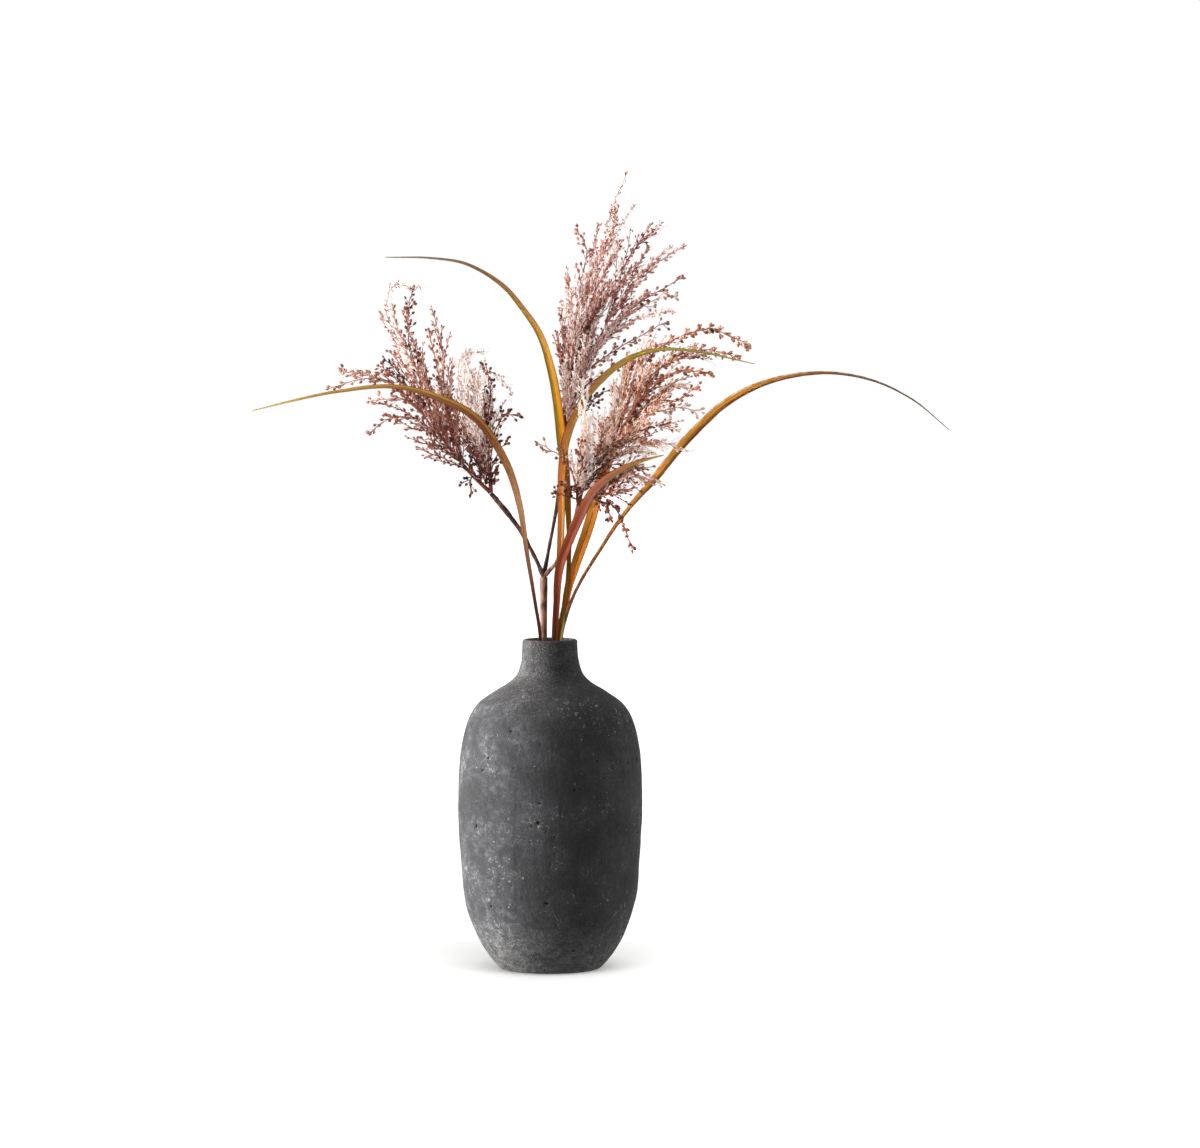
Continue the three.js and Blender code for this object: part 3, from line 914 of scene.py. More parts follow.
        # Only the lowest 9 mm of the foot has chips, by up to 1.35 mm.
        chips = smoothstep(9, 1, skin[..., 2]) * np.maximum(0, value_noise(skin, 5, 6) - 0.1) * 1.5
        dent = self.pitted(skin)
        push = (lumps - chips - dent) * weathered[:, None]
        skin = skin + push[..., None] * out
        number = np.arange(len(outline) * self.sides).reshape(len(outline), self.sides)
        poles = np.array([[0, 0, 0], [0, 0, self.floor]])
        under, floor = fan(number[0], number.size)[:, [1, 0, 2]], fan(number[-1], number.size + 1)
        traits = {"dent": np.concatenate([(dent * weathered[:, None]).ravel(), [0.0, 0.0]])}
        return Surface(np.vstack([skin.reshape(-1, 3), poles]), [bands(number), under, floor], traits)

    def pitted(self, skin: np.ndarray) -> np.ndarray:
        """Depth of the pits at each place: depth * exp(-(distance / radius) to the power 4), deepest kept.

        Args:
            skin: places on the vase, rows by sides.

        Returns:
            Depths in millimetres.
        """
        random = np.random.default_rng(self.seed)
        # Azimuth, height, radius and depth of the scattered pits, each from its least to its most.
        ranges = ((-180, 180), (8, 205), (0.7, 1.2), (0.3, 0.8))
        scattered = np.stack([random.uniform(*ends, self.scattered_pits) for ends in ranges], axis=1)
        dent = np.zeros(skin.shape[:2])
        outline, _ = self.outer(400)
        for azimuth, height, size, depth in np.vstack([self.pits, scattered]):
            turn = math.radians(azimuth)
            radius = float(np.interp(height, outline[:, 1], outline[:, 0]))
            centre = np.array([radius * math.sin(turn), -radius * math.cos(turn), height])
            near = np.abs(skin[:, 0, 2] - height) < 4 * size
            away = np.linalg.norm(skin[near] - centre, axis=-1) * (1 + 0.5 * value_noise(skin[near], 2.6, 7))
            dent[near] = np.maximum(dent[near], depth * np.exp(-((away / size) ** 4)))
        return dent

    def build(self) -> list[bpy.types.Object]:
        """Make the vase's piece."""
        piece = self.surface().to_object("vase_cement", CastCement().material())
        return [settle(piece, "cement", "vase")]


def settle(piece: bpy.types.Object, slot: str, *nodes: str) -> bpy.types.Object:
    """Fix a piece to the object's body, in the place of its frame nodes.

    Args:
        piece: the finished piece.
        slot: the record's material slot. It is not used.
        nodes: the frame nodes that it stands for.

    Returns:
        The piece.
    """
    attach(piece, BODY)
    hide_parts(*nodes)
    return piece


# Stem and branches


@dataclass
class Twig:
    """One round woody piece.

    Args:
        node: the frame node that it stands for.
        points: the points its axis runs through.
        radii: its radius at even shares of the way.
        finish: its bark.
        wrinkle: how far its skin stands in and out.
        steps: rings along it.
        sides: flats around it.
    """

    node: str
    points: tuple[tuple[float, float, float], ...]
    radii: tuple[float, ...]
    finish: TwigBark
    wrinkle: float
    steps: int = 150
    sides: int = 24

    def build(self) -> bpy.types.Object:
        """Carry a wrinkled circle along the axis: radius * (1 + ridges that wind slowly around it).

        Returns:
            The finished piece.
        """
        share = np.linspace(0, 1, self.steps)
        path = route(self.points, share)
        knots = np.linspace(0, 1, len(self.radii))
        radius = np.interp(share, knots, self.radii)
        tube = tubes(path[None], radius[None], self.sides, {"along": share[None]})
        tube.traits["around"] = np.tile(np.arange(self.sides) / self.sides, self.steps)
        centre = np.repeat(path, self.sides, axis=0)
        out = unit(tube.vertices - centre)
        swell = 0.6 * value_noise(tube.vertices * [1, 1, 0.35], 1.7, 21) + value_noise(tube.vertices, 7, 22)
        tube.vertices = tube.vertices + out * (swell * self.wrinkle)[:, None]
        piece = tube.to_object(f"{self.node}_bark", self.finish.material())
        return settle(piece, "bark", self.node)


@dataclass
class WoodyStem:
    """The stem and its three branches, from the vase's floor to the feet of the plumes.

    Args:
        fork_height: where the stem ends and the branches leave it, in millimetres.
    """

    fork_height: float = 304.0

    def twigs(self) -> list[Twig]:
        """List the stem and branches with their routes.

        Returns:
            One twig for each frame node.
        """
        top = self.fork_height
        fork = (-5.0, 1.0, top + 0.5)
        wrapped = TwigBark("pinkish_wrapped_stem_bark", "#46241c", "#895c4e", "#c89c88", wrap_turns=104.0)
        dark = TwigBark("dark_twig_bark", "#1f1210", "#3f2722", "#7d564a")
        pale = TwigBark("rubbed_twig_bark", "#3a211b", "#80594c", "#cfa593")
        stem = ((-7, 1.5, STEM_FOOT), (-5, 1, 150), (-5, 1, 255), (-5, 1, top))
        return [
            Twig("main_stem", stem, (2.5, 2.5, 2.5, 2.55, 3.1), wrapped, 0.12, steps=360),
            Twig(
                "left_branch",
                (fork, (-12, 1, 320), (-23, 2, 340), (-35, 4, 356), (-46, 6, 369)),
                (2.0, 1.5, 1.6, 2.1, 1.7), dark, 0.3,
            ),
            Twig(
                "upper_branch",
                (fork, (-2, 7, 321), (2, 13, 342), (5, 17, 359), (8, 22, 390), (10, 27, 416)),
                (1.9, 1.3, 1.4, 1.35, 1.3), dark, 0.2,
            ),
            Twig(
                "right_branch",
                (fork, (0, -1, 310), (5, -3, 316), (12, -3, 332), (19, -5, 350), (22, -8, 362)),
                (1.9, 1.6, 1.7, 1.5, 1.5), pale, 0.2,
            ),
        ]

    def build(self) -> list[bpy.types.Object]:
        """Make every twig's piece."""
        return [twig.build() for twig in self.twigs()]


# Blades


@dataclass
class GrassBlade:
    """One dry blade: a shallow gutter carried along a curve.

    Args:
        node: the frame node that it stands for.
        slot: the record's material slot.
        finish: its material.
        stations: x, y, z, full width and turn in degrees along it.
        seed: picks the wandering of its edges.
        ragged: how far its edges wander, as a share of its half width.
        fold: how deep the gutter is, as a share of its half width.
        steps: sections along it.
        columns: points across it.
    """

    node: str
    slot: str
    finish: DryBlade
    stations: tuple[tuple[float, float, float, float, float], ...]
    seed: int
    ragged: float = 0.03
    fold: float = 0.36
    steps: int = 260
    columns: int = 13

    def section(self) -> tuple[np.ndarray, np.ndarray]:
        """The gutter's closed outline: height -fold * |x| to the power 1.3, plus or minus a thickness.

        Returns:
            The outline's x and height, both as shares of the half width.
        """
        x = np.linspace(-1, 1, self.columns)
        line = -self.fold * np.abs(x) ** 1.3
        thick = 0.11 - 0.06 * np.abs(x)
        across = np.concatenate([x, x[::-1]])
        height = np.concatenate([line - thick, (line + thick)[::-1]])
        return across, height

    def build(self) -> bpy.types.Object:
        """Place the section at each step: centre + across * u + back * v, both turned by the station's angle.

        Returns:
            The finished piece.
        """
        table = np.array(self.stations, float)
        share = np.linspace(0, 1, self.steps)
        knots = np.linspace(0, 1, len(table))
        half = np.interp(share, knots, table[:, 3]) / 2
        turn = np.radians(np.interp(share, knots, table[:, 4]))
        path = route(table[:, :3], share)
        ahead = unit(np.gradient(path, axis=0))
        back = unit(DEPTH - ahead * (ahead @ DEPTH)[:, None])
        side = np.cross(back, ahead)
        x, y = self.section()
        reach = np.concatenate([[0], np.cumsum(np.linalg.norm(np.diff(path, axis=0), axis=1))])
        # Each edge wanders by a noise along its length, read 40 mm out to its own side.
        shape = (self.steps, len(x))
        probe = np.stack(np.broadcast_arrays(np.sign(x) * 40, self.seed * 17.0, reach[:, None]), axis=-1)
        wander = value_noise(probe, 9, self.seed) + 0.6 * value_noise(probe, 2.5, self.seed + 5)
        wave = 0.05 * value_noise(probe, 17, self.seed + 9) * np.abs(x)
        u0 = x * (1 + self.ragged * wander) * half[:, None]
        v0 = (y + wave) * half[:, None]
        cos, sin = np.cos(turn)[:, None], np.sin(turn)[:, None]
        u, v = u0 * cos - v0 * sin, u0 * sin + v0 * cos
        skin = path[:, None] + side[:, None] * u[..., None] + back[:, None] * v[..., None]
        number = np.arange(self.steps * len(x)).reshape(shape)
        traits = {
            "along": np.repeat(share, len(x)),
            "reach": np.repeat(reach, len(x)),
            "across": np.tile(x, self.steps),
            "offset": u0.ravel(),
        }
        faces = [bands(number), number[:1, ::-1], number[-1:]]
        surface = Surface(skin.reshape(-1, 3), faces, traits)
        piece = surface.to_object(f"{self.node}_leaf", self.finish.material())
        return settle(piece, self.slot, self.node)


def grass_blades() -> list[GrassBlade]:
    """List the six blades with their routes and colours.

    Returns:
        One blade for each frame node.
    """
    return [
        GrassBlade(
            "left_blade", "olive_blade",
            DryBlade("dry_leaf_brown_to_olive", (
                (0.0, "#5e3028"), (0.26, "#8a4a3c"), (0.34, "#d8966e"), (0.42, "#f0b680"), (0.48, "#c88a54"),
                (0.56, "#8e4c2c"), (0.72, "#9e6c40"), (0.88, "#a4803c"), (1.0, "#b89c48")), "#c4963e", 1.0,
                strip_from=0.45),
            (
                (-18, -6, STEM_FOOT, 3.4, 20), (-10, -5, 150, 3.4, 30), (-8, -5, 256, 3.2, 42),
                (-12, -9, 285, 3.4, 42), (-18, -14, 322, 4.2, 42), (-24, -22, 361, 6, 40),
                (-34, -32, 393, 7.2, 40), (-56, -45, 427, 7.6, 43), (-81, -55, 442, 7.4, 47),
                (-117, -66, 452, 6.2, 60), (-159, -75, 449, 4.4, 60), (-190, -81, 443, 3, 58),
                (-224, -86, 435, 1, 55),
            ), seed=2),
        GrassBlade(
            "tall_left_blade", "amber_blade",
            DryBlade("dry_leaf_amber", (
                (0.0, "#8a5a20"), (0.3, "#b87420"), (0.42, "#d68028"), (0.52, "#f0a42c"), (0.62, "#f2b448"),
                (0.72, "#bc8440"), (0.84, "#906044"), (1.0, "#74645a")), "#94861c", -1.0, 0.05),
            (
                (9, -1, STEM_FOOT, 3.4, 0), (6.5, 0.5, 150, 3.4, 0), (6, 0.5, 255, 3.4, 10),
                (12.5, 3, 294, 3.6, 25), (14.2, 6, 325, 4.2, 35), (13.6, 9, 349, 5.2, 40),
                (11, 10, 387, 7.6, 30), (8, 12, 410, 8.4, 28), (5, 16, 436, 8.4, 35), (0, 24, 463, 8, 40),
                (-9, 33, 491, 7.2, 47), (-23, 42, 512, 6.4, 52), (-39, 50, 530, 5.6, 55),
                (-66, 57, 546, 4.4, 60), (-94, 62, 551, 3, 58), (-130, 66, 552, 1, 55),
            ), seed=3),
        GrassBlade(
            "arching_right_blade", "olive_blade",
            DryBlade("dry_leaf_brown_gold", (
                (0.0, "#6e4a20"), (0.25, "#b06a2e"), (0.45, "#a85e24"), (0.58, "#86501f"), (0.68, "#6e461c"),
                (0.8, "#70601f"), (1.0, "#9e9648")), "#6d5a14", 1.0),
            (
                (1.5, -3, STEM_FOOT, 3.6, 0), (2.5, -2.5, 150, 3.6, 0), (3, -2.5, 256, 3.6, -10),
                (5.6, -6, 295, 4.6, -18), (8, -8, 322, 5.4, -22), (9.2, -9, 350, 6.2, -28),
                (10, -10, 388, 7, -30), (14, -13, 414, 7.5, -32), (26, -20, 440, 7.4, -40),
                (42, -29, 459, 7, -43), (61, -38, 473, 6.2, -50), (83, -46, 480, 5, -60),
                (112, -55, 479, 3.6, -62), (156, -66, 470, 1, -58),
            ), seed=4),
        GrassBlade(
            "front_red_blade", "red_blade",
            DryBlade("dry_leaf_rust_red", (
                (0.0, "#481a10"), (0.25, "#602618"), (0.4, "#86381e"), (0.58, "#6e2f1c"), (0.74, "#583420"),
                (0.88, "#6c5a2a"), (1.0, "#968a40")), "#90421e", -1.0, crease="#3c150c", crease_share=0.45),
            (
                (4, -12, STEM_FOOT, 4.2, 0), (4, -8.5, 150, 4.2, 0), (4, -8, 256, 4.2, 0),
                (5, -11, 282, 5, -5), (7.3, -16, 311, 6.6, -10), (13.2, -21, 329, 7.6, -15),
                (22.8, -31, 351, 8, -22), (34, -44, 372, 8, -35), (53, -58, 388, 6.4, -44),
                (70, -66, 396, 4, -48), (87, -72, 401, 1, -50),
            ), seed=5),
        GrassBlade(
            "long_right_blade", "amber_blade",
            # Its dark brown strip over the whole right half is painted shade on the half turned away from the
            # light.
            DryBlade("dry_leaf_orange_gold", (
                (0.0, "#cfc58e"), (0.18, "#a09a44"), (0.24, "#603a22"), (0.38, "#a8622c"), (0.5, "#d8923a"),
                (0.66, "#cf8a32"), (0.8, "#84543a"), (1.0, "#6a5c50")), "#4a2a0c", 1.0, -0.05, "#3a2412", 0.6,
                frayed=True),
            (
                (17, 0, STEM_FOOT, 3, 0), (10.5, 1.5, 150, 3, -20), (9, 2, 255, 3, -45),
                (12, 2, 271, 3.4, -40), (20, 2, 293, 3.4, -45), (39, 3, 325, 3.9, -50),
                (59, 7, 354, 5.1, -52), (81, 12, 379, 7.9, -42), (107, 18, 410, 8.6, -40),
                (139, 25, 439, 8, -46), (173, 32, 455, 6.8, -56),
                (214, 38, 461, 5.2, -66), (251, 42, 455.5, 3.6, -64), (283, 44, 440.5, 2.4, -60),
                (312, 45, 417, 1, -60),
            ), ragged=0.07, seed=6),
        GrassBlade(
            "upright_back_blade", "amber_blade",
            DryBlade("dry_leaf_rust_to_gold", (
                (0.0, "#6a3a20"), (0.22, "#a63f18"), (0.38, "#d26a26"), (0.55, "#e68c34"), (0.8, "#d89c44"),
                (1.0, "#c79a4a")), "#e0a440", -1.0, crease="#4a2c08", crease_share=1.0),
            (
                (7, 4, STEM_FOOT, 3.4, 0), (6.5, 4, 150, 3.4, 0), (6.5, 4, 255, 3.6, 0),
                (10, 6.5, 272, 4.6, 0), (14, 8, 295, 6.2, -5), (18, 9, 308, 7.2, -8),
                (30, 15, 343, 8.6, -10), (41, 24, 383, 8.4, -12), (50, 32, 407, 7.8, -14),
                (56, 40, 441, 5.6, -16), (60, 46, 478, 1.4, -18),
            ), seed=7),
    ]


# Plumes


@dataclass(frozen=True)
class Growth:
    """How one kind of spray grows, in millimetres.

    Args:
        stem: its radius at the root and at the tip.
        companions: how many smaller sprays grow close beside it.
        side_gap: the spacing of its side sprays, left and right in turn.
        side_length: the shortest and longest side spray.
        side_slope: how steeply the side sprays leave it, least and most.
        bud_gap: the spacing of buds on the spray itself and on its side sprays.
        bud_low: length and width of the smallest bud.
        bud_high: length and width of the largest bud.
        stalk: the shortest and longest stalk.
        fibre_gap: the spacing of fibres, or 0 for none.
    """

    stem: tuple[float, float]
    companions: int
    side_gap: float
    side_length: tuple[float, float]
    side_slope: tuple[float, float]
    bud_gap: tuple[float, float]
    bud_low: tuple[float, float]
    bud_high: tuple[float, float]
    stalk: tuple[float, float]
    fibre_gap: float


class Look(Enum):
    """How a spray reads: open with single round buds, clumped, slim, fine, thick, or a tuft of fibres."""

    OPEN = Growth(
        stem=(0.62, 0.34), companions=0, side_gap=15.0, side_length=(6, 10), side_slope=(0.6, 1.0),
        bud_gap=(4.6, 4.6), bud_low=(3.1, 2.5), bud_high=(4.1, 3.2), stalk=(2.2, 4.2), fibre_gap=0.0,
    )
    CLUMPED = Growth(
        stem=(0.7, 0.36), companions=0, side_gap=5.4, side_length=(3.6, 6.0), side_slope=(0.6, 1.1),
        bud_gap=(12, 2.6), bud_low=(3.4, 2.3), bud_high=(4.8, 3.2), stalk=(0.5, 1.6), fibre_gap=0.0,
    )
    SLIM = Growth(
        stem=(0.55, 0.28), companions=0, side_gap=9.0, side_length=(6, 13), side_slope=(0.22, 0.46),
        bud_gap=(4.2, 4.0), bud_low=(2.8, 1.3), bud_high=(4.4, 2.1), stalk=(0.6, 1.8), fibre_gap=12.0,
    )
    FINE = Growth(
        stem=(0.42, 0.2), companions=0, side_gap=7.0, side_length=(4, 9), side_slope=(0.3, 0.8),
        bud_gap=(4.6, 3.6), bud_low=(1.8, 1.2), bud_high=(3.0, 1.9), stalk=(0.6, 2.0), fibre_gap=5.0,
    )
    THICK = Growth(
        stem=(0.66, 0.3), companions=3, side_gap=8.0, side_length=(16, 30), side_slope=(0.1, 0.34),
        bud_gap=(7, 4.4), bud_low=(2.4, 1.3), bud_high=(3.9, 2.2), stalk=(0.8, 2.4), fibre_gap=10.0,
    )
    TUFT = Growth(
        stem=(0.5, 0.24), companions=2, side_gap=9.0, side_length=(12, 24), side_slope=(0.15, 0.4),
        bud_gap=(8, 6), bud_low=(2.2, 1.1), bud_high=(3.4, 1.8), stalk=(0.8, 2.2), fibre_gap=1.9,
    )


@dataclass(frozen=True)
class Spray:
    """One spray of a plume.

    Args:
        root: the share of the fork's axis that it leaves at.
        points: the points it runs through, to its tip.
        look: how it reads.
        tone: 0 for maroon to 1 for pale straw.
    """

    root: float
    points: tuple[tuple[float, float, float], ...]
    look: Look = Look.THICK
    tone: float = 0.5


@dataclass
class Strands:
    """Thin lines that grow together.

    Args:
        paths: strands by steps by x, y and z.
        tone: one tone for each strand.
    """

    paths: np.ndarray
    tone: np.ndarray

    def sites(self, gap: float, random: np.random.Generator) -> tuple[np.ndarray, ...]:
        """Evenly spaced places on every strand.

        Args:
            gap: the spacing in millimetres.
            random: the seeded source.

        Returns:
            For each place its strand's number, share of the way, point, direction and rank on the strand.
        """
        length = np.linalg.norm(np.diff(self.paths, axis=1), axis=2).sum(axis=1)
        counts = np.maximum(1, np.round(length / gap).astype(int))
        which = np.repeat(np.arange(len(self.paths)), counts)
        rank = np.concatenate([np.arange(count) for count in counts])
        share = np.clip((rank + random.uniform(0.3, 0.7, len(rank))) / counts[which], 0.03, 0.98)
        i, t = spans(share, self.paths.shape[1])
        here, there = self.paths[which, i], self.paths[which, i + 1]
        return which, share, here * (1 - t) + there * t, unit(there - here), rank


@dataclass
class PlumeFork:
    """One fork of a plume: an axis, its sprays, and everything that grows on them.

    Args:
        node: the frame node that it stands for.
        axis: the points of its main axis.
        sprays: its sprays.
        seed: picks its random shape.
        crowd: how many companions its sprays have, as a share of what their look gives.
        steps: points along each spray.
        depth_range: how far forward and back the fork reaches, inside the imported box.
    """

    node: str
    axis: tuple[tuple[float, float, float], ...]
    sprays: tuple[Spray, ...]
    seed: int
    crowd: float
    steps: int = 24
    depth_range: tuple[float, float] = (-82.0, 66.0)

    def main_strands(self, look: Look, random: np.random.Generator) -> Strands:
        """The sprays of one look: the traced ones, and smaller companions turned a little about their roots.

        Args:
            look: which sprays to grow.
            random: the seeded source.

        Returns:
            The sprays as strands.
        """
        share = np.linspace(0, 1, self.steps)
        paths, tones = [], []
        for spray in (spray for spray in self.sprays if spray.look is look):
            root = route(self.axis, np.array([spray.root]))[0]
            path = route([root, *spray.points], share)
            paths.append(path)
            tones.append(spray.tone)
            for _ in range(round(look.value.companions * self.crowd)):
                turn = random.normal(0, 0.13, 3)
                away = (path - path[0]) * random.uniform(0.5, 0.9)
                bent = away + np.cross(turn, away) * (0.5 + 0.5 * share[:, None])
                slide = route(self.axis, np.clip([spray.root + random.uniform(-0.15, 0.05)], 0.02, 1))[0]
                paths.append(slide + bent)
                tones.append(spray.tone + random.normal(0, 0.2))
        wiggle = random.normal(0, 1, (len(paths), 3, 3))
        waves = np.sin(share[:, None] * np.array([5.0, 9.0, 15.0]) * np.pi) * np.array([0.5, 0.28, 0.16])
        curves = np.array(paths) + np.einsum("nkc,sk->nsc", wiggle, waves) * share[None, :, None]
        curves[..., 1] = np.clip(curves[..., 1], *self.depth_range)
        return Strands(curves, np.array(tones))

    def side_strands(self, mains: Strands, growth: Growth, random: np.random.Generator) -> Strands:
        """Side sprays: each leaves its spray at a slope, bends back along it, and is shorter nearer the tip.

        Args:
            mains: the sprays that they grow on.
            growth: how they grow.
            random: the seeded source.

        Returns:
            The side sprays as strands.
        """
        which, share, point, ahead, rank = mains.sites(growth.side_gap, random)
        side = self.sideways(ahead, which, len(mains.paths), rank, random)
        count = len(which)
        length = random.uniform(*growth.side_length, count) * (1.2 - 0.95 * share)
        leave = unit(ahead + side * random.uniform(*growth.side_slope, count)[:, None])
        t = np.linspace(0, 1, 8)[None, :, None]
        reach = length[:, None, None]
        sway = random.normal(0, 0.03, (count, 1, 3)) * np.sin(np.pi * 2.5 * t) * reach
        paths = point[:, None] + (leave[:, None] * t + ahead[:, None] * t**2 * 0.4) * reach + sway * t
        tone = mains.tone[which] + random.normal(0, 0.13, count) + 0.2 * (share - 0.5)
        return Strands(paths, tone)

    @staticmethod
    def sideways(
        ahead: np.ndarray, which: np.ndarray, count: int, rank: np.ndarray, random: np.random.Generator
    ) -> np.ndarray:
        """Directions to the left and right in turn, nearly in a flat plane of each strand's own.

        Args:
            ahead: the strands' directions at the places.
            which: the places' strand numbers.
            count: the number of strands.
            rank: the places' ranks along their strands.
            random: the seeded source.

        Returns:
            One unit direction for each place.
        """
        plane = unit(DEPTH + 0.5 * random.normal(0, 1, (count, 3)))[which]
        flat = unit(np.cross(ahead, plane)) * np.where(rank % 2, 1.0, -1.0)[:, None]
        return unit(flat + 0.3 * random.normal(0, 1, flat.shape))

    def buds(
        self, strands: Strands, gap: float, growth: Growth, random: np.random.Generator
    ) -> tuple[Surface, Surface]:
        """Stalked buds along every strand, and one at its tip.

        Args:
            strands: what they grow on.
            gap: their spacing in millimetres.
            growth: how they grow.
            random: the seeded source.

        Returns:
            The stalks and the buds.
        """
        which, share, point, ahead, rank = strands.sites(gap, random)
        side = self.sideways(ahead, which, len(strands.paths), rank, random)
        count = len(which)
        length = random.uniform(*growth.stalk, count)
        leave = unit(ahead + side * random.uniform(0.5, 1.1, count)[:, None])
        t = np.linspace(0, 1, 3)[None, :, None]
        stalks = point[:, None] + (leave[:, None] * t + ahead[:, None] * t**2 * 0.3) * length[:, None, None]
        tone = strands.tone[which] + random.normal(0, 0.1, count) + 0.28 * (share - 0.55)
        thin = np.broadcast_to(0.38 - 0.08 * t[..., 0], (count, 3))
        traits = {"tone": np.tile(tone[:, None] + 0.08, (1, 3))}
        tips = strands.paths[:, -1]
        feet = np.vstack([stalks[:, -1] - leave * 0.4, tips])
        ways = np.vstack([unit(leave + 0.35 * ahead), unit(tips - strands.paths[:, -2])])
        sizes = random.uniform(growth.bud_low, growth.bud_high, (len(feet), 2))
        sizes *= 1.12 - 0.3 * np.concatenate([share, np.full(len(tips), 0.8)])[:, None]
        end_tone = np.concatenate([tone, strands.tone + 0.1])
        return tubes(stalks, thin, 3, traits), Budform().grown(feet, ways, sizes, end_tone)

    def fibres(self, strands: Strands, gap: float, random: np.random.Generator) -> Surface:
        """Wavy fibres that hug the strands: start + direction * t + a wave across it that grows with t.

        Args:
            strands: what they grow on.
            gap: the spacing in millimetres.
            random: the seeded source.

        Returns:
            The fibres.
        """
        which, share, point, ahead, _ = strands.sites(gap, random)
        kept = random.uniform(0, 1, len(which)) < 1.15 - 0.6 * share
        which, share, point, ahead = (values[kept] for values in (which, share, point, ahead))
        count = len(which)
        drift = unit(ahead + 0.34 * random.normal(0, 1, (count, 3)))
        length = random.uniform(4, 11, count)
        t = np.linspace(0, 1, 8)[None, :, None]
        across = unit(np.cross(drift, random.normal(0, 1, (count, 3))))
        other = np.cross(drift, across)
        phase = random.uniform(0, 2 * np.pi, (count, 1, 1)) + t * random.uniform(3, 9, (count, 1, 1))
        swing = random.uniform(0.4, 1.7, (count, 1, 1)) * t
        wave = (across[:, None] * np.sin(phase) + other[:, None] * np.cos(phase)) * swing
        start = point + random.normal(0, 0.7, (count, 3))
        paths = start[:, None] + drift[:, None] * t * length[:, None, None] + wave
        tone = strands.tone[which] * 0.7 + 0.36 + random.normal(0, 0.16, count)
        radii = np.broadcast_to(0.31 - 0.17 * t[..., 0], (count, 8))
        return tubes(paths, radii, 3, {"tone": np.tile(tone[:, None], (1, 8))})

    def stems(self, strands: Strands, thick: float, thin: float, sides: int) -> Surface:
        """Tubes along the strands, thinning evenly.

        Args:
            strands: what they follow.
            thick: their radius at the root.
            thin: their radius at the tip.
            sides: the number of flats around.

        Returns:
            The tubes, paler towards their tips.
        """
        share = np.linspace(0, 1, strands.paths.shape[1])
        tone = strands.tone[:, None] * 0.8 + 0.25 * (share - 0.55)
        radii = np.broadcast_to(thick + (thin - thick) * share, tone.shape)
        return tubes(strands.paths, radii, sides, {"tone": tone})

    def build(self, finishes: dict[str, bpy.types.Material]) -> list[bpy.types.Object]:
        """Grow the fork: for each look its stems with side sprays, then buds and fibres on both.

        Args:
            finishes: the plume's materials, by kind.

        Returns:
            The fork's pieces.
        """
        random = np.random.default_rng(self.seed)
        # The fork's own axis: its radius is 1.7 mm at the root and 0.6 mm at the tip, and its tone is dark.
        share, thickness, tone = (np.linspace(*ends, 30) for ends in ((0, 1), (1.7, 0.6), (0.08, 0.3)))
        axis = tubes(route(self.axis, share)[None], thickness[None], 8, {"tone": tone[None]})
        made = {"twigs": [axis], "buds": [], "fibres": []}
        for look in (look for look in Look if any(spray.look is look for spray in self.sprays)):
            growth = look.value
            mains = self.main_strands(look, random)
            sides = self.side_strands(mains, growth, random)
            thick, thin = growth.stem
            made["twigs"].append(self.stems(mains, thick, thin, 5))
            made["twigs"].append(self.stems(sides, thick * 0.65, thin * 0.8, 4))
            for strands, bud_gap in zip((mains, sides), growth.bud_gap):
                stalks, buds = self.buds(strands, bud_gap, growth, random)
                made["twigs"].append(stalks)
                made["buds"].append(buds)
                if growth.fibre_gap:
                    made["fibres"].append(self.fibres(strands, growth.fibre_gap, random))
        pieces = []
        for kind, parts in made.items():
            if parts:
                piece = Surface.joined(parts).to_object(f"{self.node}_{kind}", finishes[kind])
                pieces.append(settle(piece, "plume", self.node))
        return pieces


@dataclass
class SeedPlume:
    """One plume: its forks and the colours that they share, each from dark to pale.

    Args:
        name: what its materials are named after.
        forks: its forks.
        twigs: the tones of its twigs.
        buds: the tones of its buds.
        fibres: the tones of its fibres.
    """

    name: str
    forks: tuple[PlumeFork, ...]
    twigs: tuple[str, ...]
    buds: tuple[str, ...]
    fibres: tuple[str, ...]

    def build(self) -> list[bpy.types.Object]:
        """Make the plume's materials and grow each fork.

        Returns:
            The plume's pieces.
        """
        places = (0.0, 0.36, 0.68, 1.0)
        kinds = {"twigs": self.twigs, "buds": self.buds, "fibres": self.fibres}
        finishes = {
            kind: DrySeedhead(f"dry_{self.name}_{kind}", tuple(zip(places, colours))).material()
            for kind, colours in kinds.items()
        }
        return [piece for fork in self.forks for piece in fork.build(finishes)]


